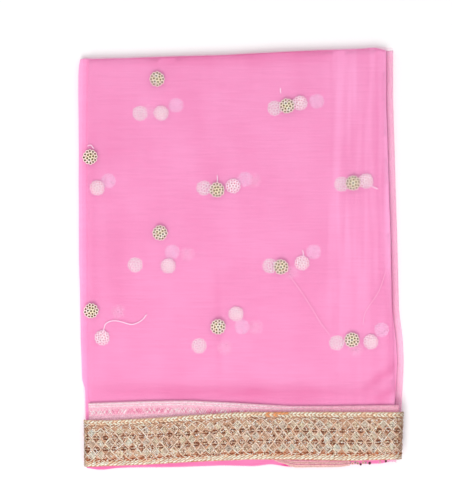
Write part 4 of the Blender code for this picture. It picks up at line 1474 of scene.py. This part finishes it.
# %% Piece: threads of the second lace
PALE_STEP, SLANT_STEP, SLANT_MISSED, SLANT_HALF, SLANT_LONG = 2.3, 2.45, 0.15, 2.8, 3.6
PALE_ROWS = (
    (1.7, 1.0, PALE_WHITE), (4.2, -1.0, PALE_WHITE), (15.2, 1.0, PALE_PINK), (17.3, -1.0, PALE_PINK),
)
pale_threads = Basket()
for first in np.arange(1.5, SECOND_WIDTH - 2.0, PALE_STEP):
    for middle, lean, tint in PALE_ROWS:
        place, slant = first + dice.uniform(-0.3, 0.3), 0.6 * lean
        path = arched((place - 1.4, middle + slant, 0.05), (place + 1.4, middle - slant, 0.05), 0.22, 4)
        own = mix(np.array(tint), np.array(RIGHT_PINK), pinker_right(place))
        pale_threads.add(*stroke(path, 0.55, 0.22), tinted(own, 0.16))
for first in np.arange(2.0, SECOND_WIDTH - 6.0, SLANT_STEP):
    for lean in (-1.0, 1.0):
        if dice.random() < SLANT_MISSED:
            continue
        tint = PALE_WHITE if dice.random() < 0.5 else ROSE_PATTERN_AND_SHADE
        place, slant = first + dice.uniform(-0.9, 0.9), SLANT_HALF * lean
        start = (place, SLANT_MIDDLE + slant, 0.05)
        path = arched(start, (place + SLANT_LONG, SLANT_MIDDLE - slant, 0.05), 0.14, 4)
        pale_threads.add(*stroke(path, 0.46, 0.18), tinted(tint, 0.08))
second_threads = pale_threads.turn_out("second_lace_threads", pale_lace_finish, on_second_lace)
dress(second_threads, "zari_lace")
print("pale strokes:", len(pale_threads.points))

# %% [markdown]
# The lower lace
#
# Near the right of the near edge, a lower ply's lace peeps out below the gold band. Only
# its outermost cords show, pink and peach.

# %% Piece: lower lace
LOWER_LACE_LEFT, LOWER_LACE_RIGHT = 36.0, 118.0
LOWER_LACE_TOP = LEDGE + GAP + 1.0
CORD_PINK, CORD_PEACH = dye(248, 174, 196), dye(255, 212, 204)
LOWER_LACE_TAPER, LOWER_LACE_TIP = 15.0, 1.2
# where the lace is cut back, the lifted edge shows with its painted shadow on the hidden plies
LIFTED_SHOWS = 2.2  # how much of the lifted edge shows below the lace
CORD_RELIEF, CORD_TURNS = 0.15, 9.0  # the cords' swell across the lace


def lower_lace_edges(x):
    """Its upper and lower edge, which come together at the left end."""
    inner, outer = along(TOP_LACE_LOWER, x) - GAP, along(LOWER_NEAR, x) + GAP
    outer = outer + LIFTED_SHOWS * lifted(x)
    full = np.clip((x - LOWER_LACE_LEFT) / LOWER_LACE_TAPER, 0.0, 1.0)
    return inner, mix(inner - LOWER_LACE_TIP, outer, full)


lower_x = np.linspace(LOWER_LACE_LEFT, LOWER_LACE_RIGHT, 83)
lower_share = np.linspace(0, 1, 9)
PEACH_ROWS = (0, 1, 2, 5)
lower_points, lower_dye = [], []
inner, outer = lower_lace_edges(lower_x)
for share in lower_share:
    row_height = np.full_like(lower_x, LOWER_LACE_TOP + CORD_RELIEF * math.sin(share * CORD_TURNS))
    lower_points.append(np.stack([lower_x, mix(outer, inner, share), row_height], axis=-1))
    colour = CORD_PEACH if int(share * 8) in PEACH_ROWS else CORD_PINK
    lower_dye.append(np.tile(colour, (len(lower_x), 1)))
lower_lace = add_piece(
    "lower_lace_ground", np.concatenate(lower_points),
    grid_faces(len(lower_share), len(lower_x)), pale_lace_finish,
)
paint_dye(lower_lace, np.concatenate(lower_dye))
thicken(lower_lace, 0.7)
dress(lower_lace, "zari_lace", "lower_lace")

CORD_ROWS = ((0.10, CORD_PEACH), (0.34, CORD_PINK), (0.52, CORD_PEACH), (0.80, CORD_PINK))
lower_cords = Basket()
for share, colour in CORD_ROWS:
    for first in np.arange(LOWER_LACE_LEFT + 1.5, LOWER_LACE_RIGHT - 2.0, 2.2):
        inner, outer = lower_lace_edges(first)
        y = float(mix(outer, inner, share))
        path = arched((first - 1.3, y - 0.25, 0.1), (first + 1.3, y + 0.25, 0.1), 0.25, 4)
        lower_cords.add(*stroke(path, 0.42, 0.30), tinted(colour, 0.12))
lower_cord_piece = lower_cords.turn_out(
    "lower_lace_cords", pale_lace_finish, lambda flat: flat + np.array([0.0, 0.0, LOWER_LACE_TOP])
)
dress(lower_cord_piece, "zari_lace")
print("cord strokes:", len(lower_cords.points))

# %% [markdown]
# Sequin flowers
#
# A flower is nineteen cup sequins, one in the middle, six round it and twelve round those,
# each sewn down through its hole. The ten on the top ply shine gold with dark holes. The
# same flowers on the plies below look white and pink, and softer the deeper they lie.

# %% Finishes: sequins
def sequin_finish(name, roughness, metallic, coat, uneven, dark):
    """A sequin's own dye, with uneven specks of a darker one."""
    made, tree, shader = material(name, roughness, metallic)
    twist = place_group(tree, twist_tree, Pitch=0.9)
    own_dye = painted(tree, "dye")["Color"]
    shade = blend_colours(tree, maths(tree, "MULTIPLY", twist["Speckle"], uneven), own_dye, dark)
    wire(tree, shade, shader.inputs["Base Color"])
    shader.inputs["Coat Weight"].default_value = coat
    shader.inputs["Specular IOR Level"].default_value = 0.2
    return made


gold_sequin_finish = sequin_finish("gold_sequin", 0.32, 0.05, 0.0, 0.05, LACE_BROWN)
pale_sequin_finish = sequin_finish("pale_sequin", 0.5, 0.0, 0.0, 0.04, NET_DEEP)

print("sequin finishes:", gold_sequin_finish.name, pale_sequin_finish.name)

# %% [markdown]
# One flower
#
# A cup sequin is a flat ring pressed into a shallow cup. A knot of thread fills its hole,
# so no ply shows through it; its dark dye is partly the thread and partly painted shadow in
# the hole. The flower is sewn from the middle out, and the middle lies a little higher than
# the rings round it.

# %% Sewing a flower
SEQUIN_RADIUS, HOLE_RADIUS, PALE_HOLE = 1.80, 1.10, 0.92
INNER_RING, OUTER_RING = 3.4, 6.4
RING_LIFTS = (0.22, 0.12, 0.0)
KNOT_LIFT, KNOT_OVER, KNOT_HIGH, KNOT_SIDES = 0.10, 1.08, 0.18, 8
TILT_MOST, HIGHLIGHT_SHARE, SEQUIN_SPREAD, KNOT_SPREAD = 0.06, 0.35, 0.06, 0.25


def sequin(x, y, radius, hole, lift, tilt, sides):
    """One cup sequin: a closed ring of small thickness, tilted a little."""
    profile = ((hole, 0.30), (0.5 * (hole + radius), 0.14), (radius, 0.33),
               (radius, 0.25), (0.5 * (hole + radius), 0.06), (hole, 0.22))
    turn = np.arange(sides) / sides * 2.0 * math.pi
    points = []
    for reach, high in profile:
        px, py = reach * np.cos(turn), reach * np.sin(turn)
        points.append(np.column_stack([x + px, y + py, lift + high + tilt[0] * px + tilt[1] * py]))
    faces = []
    for ring in range(len(profile)):
        here, there = ring * sides, (ring + 1) % len(profile) * sides
        for side in range(sides):
            after = (side + 1) % sides
            faces.append([here + after, there + after, there + side, here + side])
    return np.concatenate(points), faces


def knot(x, y, lift, radius, height, sides=6):
    """The stitch that fills a sequin's hole: a low bead."""
    turn = np.arange(sides) / sides * 2.0 * math.pi
    ring = np.column_stack([x + radius * np.cos(turn), y + radius * np.sin(turn), np.full(sides, lift)])
    points = np.vstack([ring, [[x, y, lift + height], [x, y, lift - 0.02]]])
    faces = [[side, (side + 1) % sides, sides] for side in range(sides)]
    faces += [[(side + 1) % sides, side, sides + 1] for side in range(sides)]
    return points, faces


def flower_places(turned):
    """Where the nineteen sequins of a flower lie, and which ring each is in."""
    places = [(0.0, 0.0, 0)]
    for ring, count, reach in ((1, 6, INNER_RING), (2, 12, OUTER_RING)):
        for number in range(count):
            angle = turned + 2.0 * math.pi * (number + 0.5 * (ring - 1)) / count
            places.append((reach * math.cos(angle), reach * math.sin(angle), ring))
    return places


def sew_flower(basket, flower, sides, slack, ring_dyes, hole_dyes, bright, hole):
    """Sews one flower of sequins, each slipped and tilted by its own small amount."""
    for dx, dy, ring in flower_places(dice.uniform(0, 6.28)):
        x = flower.x + dx + dice.uniform(-slack, slack)
        y = flower.y + dy + dice.uniform(-slack, slack)
        tilt = dice.uniform(-TILT_MOST, TILT_MOST), dice.uniform(-TILT_MOST, TILT_MOST)
        # a share of the inner sequins takes the highlight dye: a painted highlight
        colour = bright if ring < 2 and dice.random() < HIGHLIGHT_SHARE else ring_dyes[ring]
        lift = RING_LIFTS[ring]
        cup = sequin(x, y, SEQUIN_RADIUS, hole, lift, tilt, sides)
        basket.add(*cup, tinted(colour, SEQUIN_SPREAD))
        filled = knot(x, y, lift + KNOT_LIFT, KNOT_OVER * hole, KNOT_HIGH, KNOT_SIDES)
        basket.add(*filled, tinted(hole_dyes[ring], KNOT_SPREAD))


print("sequins in a flower:", len(flower_places(0.0)))

# %% [markdown]
# Flowers of the top ply
#
# The ten flowers that lie on top are the gold ones, and each is a piece of its own. Two of
# them sit right at the left fold, so their sequins are laid round its roll.

# %% Sequin flowers of the top ply
Flower = namedtuple("Flower", "x y")
GOLD_FLOWERS = (
    Flower(-90.7, 193.3), Flower(-163.0, 109.0), Flower(-87.5, 27.0), Flower(-162.0, -57.2),
    Flower(-25.9, 73.4), Flower(-24.8, -74.5), Flower(49.7, 164.2), Flower(43.2, -9.7),
    Flower(121.0, 81.0), Flower(119.9, -88.6),
)
GOLD_INNER, GOLD_OUTER = dye(255, 240, 206), dye(255, 238, 224)
# dyes of the knots: dark thread, with painted shadow of the hole
HOLE_OLIVE, HOLE_MAROON = dye(72, 26, 8), dye(92, 10, 18)


def on_top_cloth(flat, base=0.25):
    """Lays flat points on the top ply, round the left roll where they pass it."""
    x, y, raised = flat.T
    fold = top_flat_x(0.0, y)
    over = np.clip((x - fold) / (0.5 * math.pi * LEFT_TURN), -1.0, 0.0)
    return on_top_ply(np.maximum(x, fold), y, over, 0.0, base + raised)


for number, flower in enumerate(GOLD_FLOWERS, start=1):
    basket = Basket()
    sew_flower(basket, flower, 14, 0.25, (GOLD_INNER, GOLD_INNER, GOLD_OUTER),
               (HOLE_OLIVE, HOLE_OLIVE, HOLE_MAROON), HIGHLIGHT_CREAM, HOLE_RADIUS)
    piece = basket.turn_out(f"gold_sequins_{number:02d}", gold_sequin_finish, on_top_cloth)
    dress(piece, "sequin", f"sequin_flower_{number:02d}")

# %% [markdown]
# Flowers on the hidden plies
#
# The deeper flowers are placed by ply. Those of the second ply are crisp, those of the
# third are veiled twice, and the ones below are only pale patches, so their dye is mixed
# towards the pink of the cloth above them.

# %% Sequin flowers of the plies below
SECOND_FLOWERS = (
    Flower(-86.4, 156.6), Flower(-155.5, 75.6), Flower(-8.6, 77.8), Flower(63.7, 167.4),
    Flower(135.0, 83.2), Flower(-78.8, -8.6), Flower(65.9, -5.4), Flower(-150.1, -86.4),
    Flower(-5.4, -60.5), Flower(140.4, -90.7),
)
THIRD_FLOWERS = (
    Flower(-109.1, 156.6), Flower(-40.0, 75.6), Flower(36.7, 162.0), Flower(109.1, 79.9),
    Flower(-114.5, -7.6), Flower(31.3, -8.6), Flower(-45.4, -95.0), Flower(103.7, -91.8),
)
DEEP_FLOWERS = (
    Flower(-70.2, 165.2), Flower(-143.6, 83.2), Flower(4.3, 85.3), Flower(82.1, 169.6),
    Flower(-74.5, 6.5), Flower(78.8, 6.5), Flower(1.1, -74.5), Flower(152.3, -77.8),
)
FAINT_FLOWERS = (
    Flower(-17.3, -97.2), Flower(124.2, -99.4), Flower(-100.4, 157.7), Flower(55.1, -15.1),
    Flower(-132.8, -58.3), Flower(14.0, 84.0), Flower(-58.0, 4.0), Flower(16.0, -75.0),
)
SEQUIN_WHITE, SEQUIN_ROSE = dye(255, 255, 255), dye(255, 244, 252)
# knots of the pale flowers: pink thread, with painted shadow of the hole
HOLE_ROSE, HOLE_MILD, HOLE_SOFT = dye(196, 20, 94), dye(214, 76, 146), dye(240, 158, 200)
DEEP_ROSE, FAINT_ROSE = dye(255, 208, 240), dye(255, 186, 222)


def raised_to(height_of):
    """A way to lay flat points at a height that changes along the packet."""
    return lambda flat: flat + np.column_stack([np.zeros((len(flat), 2)), height_of(flat[:, 1])])


def flowers_below(name, flowers, ring_dyes, hole_dye, bright, height_of, slack):
    """Sews one ply's flowers, laid on that ply."""
    basket = Basket()
    for flower in flowers:
        sew_flower(basket, flower, 10, slack, ring_dyes, (hole_dye,) * 3, bright, PALE_HOLE)
    piece = basket.turn_out(name, pale_sequin_finish, raised_to(height_of))
    dress(piece, "sequin")
    return piece


second_sequins = flowers_below(
    "second_ply_sequins", SECOND_FLOWERS, (SEQUIN_WHITE, SEQUIN_WHITE, SEQUIN_ROSE), HOLE_ROSE,
    SEQUIN_WHITE, lambda y: second_height(y) + 0.05, 0.25,
)
third_sequins = flowers_below(
    "third_ply_sequins", THIRD_FLOWERS, (SEQUIN_WHITE,) * 3, HOLE_MILD,
    SEQUIN_WHITE, lambda y: inner_height(y) + 0.05, 0.25,
)
deep_sequins = flowers_below(
    "deeper_sequins", DEEP_FLOWERS, (DEEP_ROSE,) * 3, HOLE_SOFT, DEEP_ROSE,
    lambda y: inner_height(y) - 0.12, 0.3,
)
faint_sequins = flowers_below(
    "faint_sequins", FAINT_FLOWERS, (FAINT_ROSE,) * 3, HOLE_SOFT, FAINT_ROSE,
    lambda y: inner_height(y) - 0.2, 0.3,
)
below = (SECOND_FLOWERS, THIRD_FLOWERS, DEEP_FLOWERS, FAINT_FLOWERS)
print("flowers below:", sum(len(flowers) for flowers in below))

# %% [markdown]
# Sequins at the near edge
#
# To the right of the lower lace, a few grey sequins and knots of a lower ply peep out from
# under the gold lace. They are sewn one by one, and no two are alike.

# %% Piece: near edge sequins
EDGE_GREY, EDGE_BEIGE, EDGE_DARK = dye(184, 164, 162), dye(232, 196, 176), dye(84, 40, 46)
EDGE_HEIGHT, EDGE_LIFT, EDGE_HOLE = LEDGE + 0.1, 0.2, 0.4
EDGE_SEQUINS = (
    (110.8, -221.3, 1.5, EDGE_DARK), (114.6, -222.9, 1.3, EDGE_BEIGE), (117.8, -222.0, 1.5, EDGE_GREY),
    (120.9, -222.6, 1.4, EDGE_BEIGE), (123.8, -221.7, 1.3, EDGE_GREY), (126.6, -222.4, 1.5, EDGE_BEIGE),
    (129.6, -223.6, 1.3, EDGE_DARK), (132.3, -221.8, 1.4, EDGE_BEIGE), (135.2, -221.9, 1.3, EDGE_GREY),
    (139.4, -222.4, 1.5, EDGE_DARK), (150.6, -221.0, 1.1, EDGE_BEIGE), (157.0, -220.2, 1.3, EDGE_DARK),
)
edge_basket = Basket()
for x, y, radius, colour in EDGE_SEQUINS:
    tilt = dice.uniform(-0.25, 0.25), dice.uniform(-0.25, 0.10)
    hole = EDGE_HOLE * radius
    edge_basket.add(*sequin(x, y, radius, hole, EDGE_LIFT, tilt, 10), tinted(colour, 0.15))
    # the knot: dark thread, with painted shadow of the hole
    edge_basket.add(*knot(x, y, 1.5 * EDGE_LIFT, 1.15 * hole, EDGE_LIFT), tinted(EDGE_DARK, 0.3))
edge_sequins = edge_basket.turn_out(
    "near_edge_sequins", pale_sequin_finish, lambda flat: flat + np.array([0.0, 0.0, EDGE_HEIGHT])
)
dress(edge_sequins, "sequin")
print("near edge sequins:", len(EDGE_SEQUINS))

# %% [markdown]
# Thread ends
#
# The sewer leaves tails of thread where a flower was finished off. The plainest lies in a
# lazy curve near the left side, and two longer ones are hardly seen. A tail is a fine tube
# along a smooth path between a few placed points.

# %% Piece: thread tails
TAIL_PALE, TAIL_FAINT = dye(255, 236, 250), dye(255, 196, 226)
TAILS = (
    ((-149.0, -81.0), (-148.0, -76.0), (-146.0, -71.0), (-139.3, -68.0), (-131.0, -68.6),
     (-122.0, -71.3), (-117.0, -71.8), (-110.0, -69.2), (-105.0, -65.0), (-102.0, -61.0)),
    ((-25.9, 80.0), (-25.4, 85.0), (-25.9, 89.6)),
    ((43.2, 178.0), (42.6, 181.5), (43.2, 183.6)),
    ((66.9, -1.0), (67.4, 4.0), (66.6, 8.6)),
    ((139.3, 79.0), (143.0, 76.8), (148.0, 74.5)),
    ((-159.0, 118.0), (-162.5, 122.0), (-166.0, 121.0)),
)
FAINT_TAILS = (
    ((51.8, -18.4), (62.0, -32.0), (74.0, -50.0), (86.0, -70.0), (96.1, -83.2)),
    ((131.8, -72.4), (134.0, -60.0), (139.3, -50.8), (149.0, -36.0), (156.6, -15.1)),
)


def eased_path(points, steps=8):
    """A smooth path through placed points."""
    points = np.array(points, float)
    padded = np.vstack([2 * points[0] - points[1], points, 2 * points[-1] - points[-2]])
    path = []
    for before, start, end, after in zip(padded, padded[1:], padded[2:], padded[3:]):
        for t in np.linspace(0, 1, steps, endpoint=False):
            path.append(0.5 * (
                2 * start + (end - before) * t
                + (2 * before - 5 * start + 4 * end - after) * t**2
                + (3 * start - before - 3 * end + after) * t**3
            ))
    path.append(points[-1])
    return np.array(path)


TAIL_LIFT, TAIL_HALF_HIGH = 0.45, 0.16
tails = Basket()
for group, half_width, colour in ((TAILS, 0.42, TAIL_PALE), (FAINT_TAILS, 0.22, TAIL_FAINT)):
    for points in group:
        way = eased_path(points)
        path = np.column_stack([way, np.zeros(len(way))])
        tails.add(*stroke(path, half_width, TAIL_HALF_HIGH), colour)
        length = np.linalg.norm(np.diff(way, axis=0), axis=1).sum()
        print("thread tail in mm:", round(float(length), 1))
tail_piece = tails.turn_out(
    "thread_tails", pale_sequin_finish, raised_to(lambda y: second_height(y) + TAIL_LIFT)
)
dress(tail_piece, "sequin")
print("thread tails:", len(TAILS) + len(FAINT_TAILS))

# %% [markdown]
# The sheets
#
# Each ply and each length of lace is a sheet. What shows of the net is one panel of the
# folded cloth.

# %% Sheets
print("sheets: none declared")
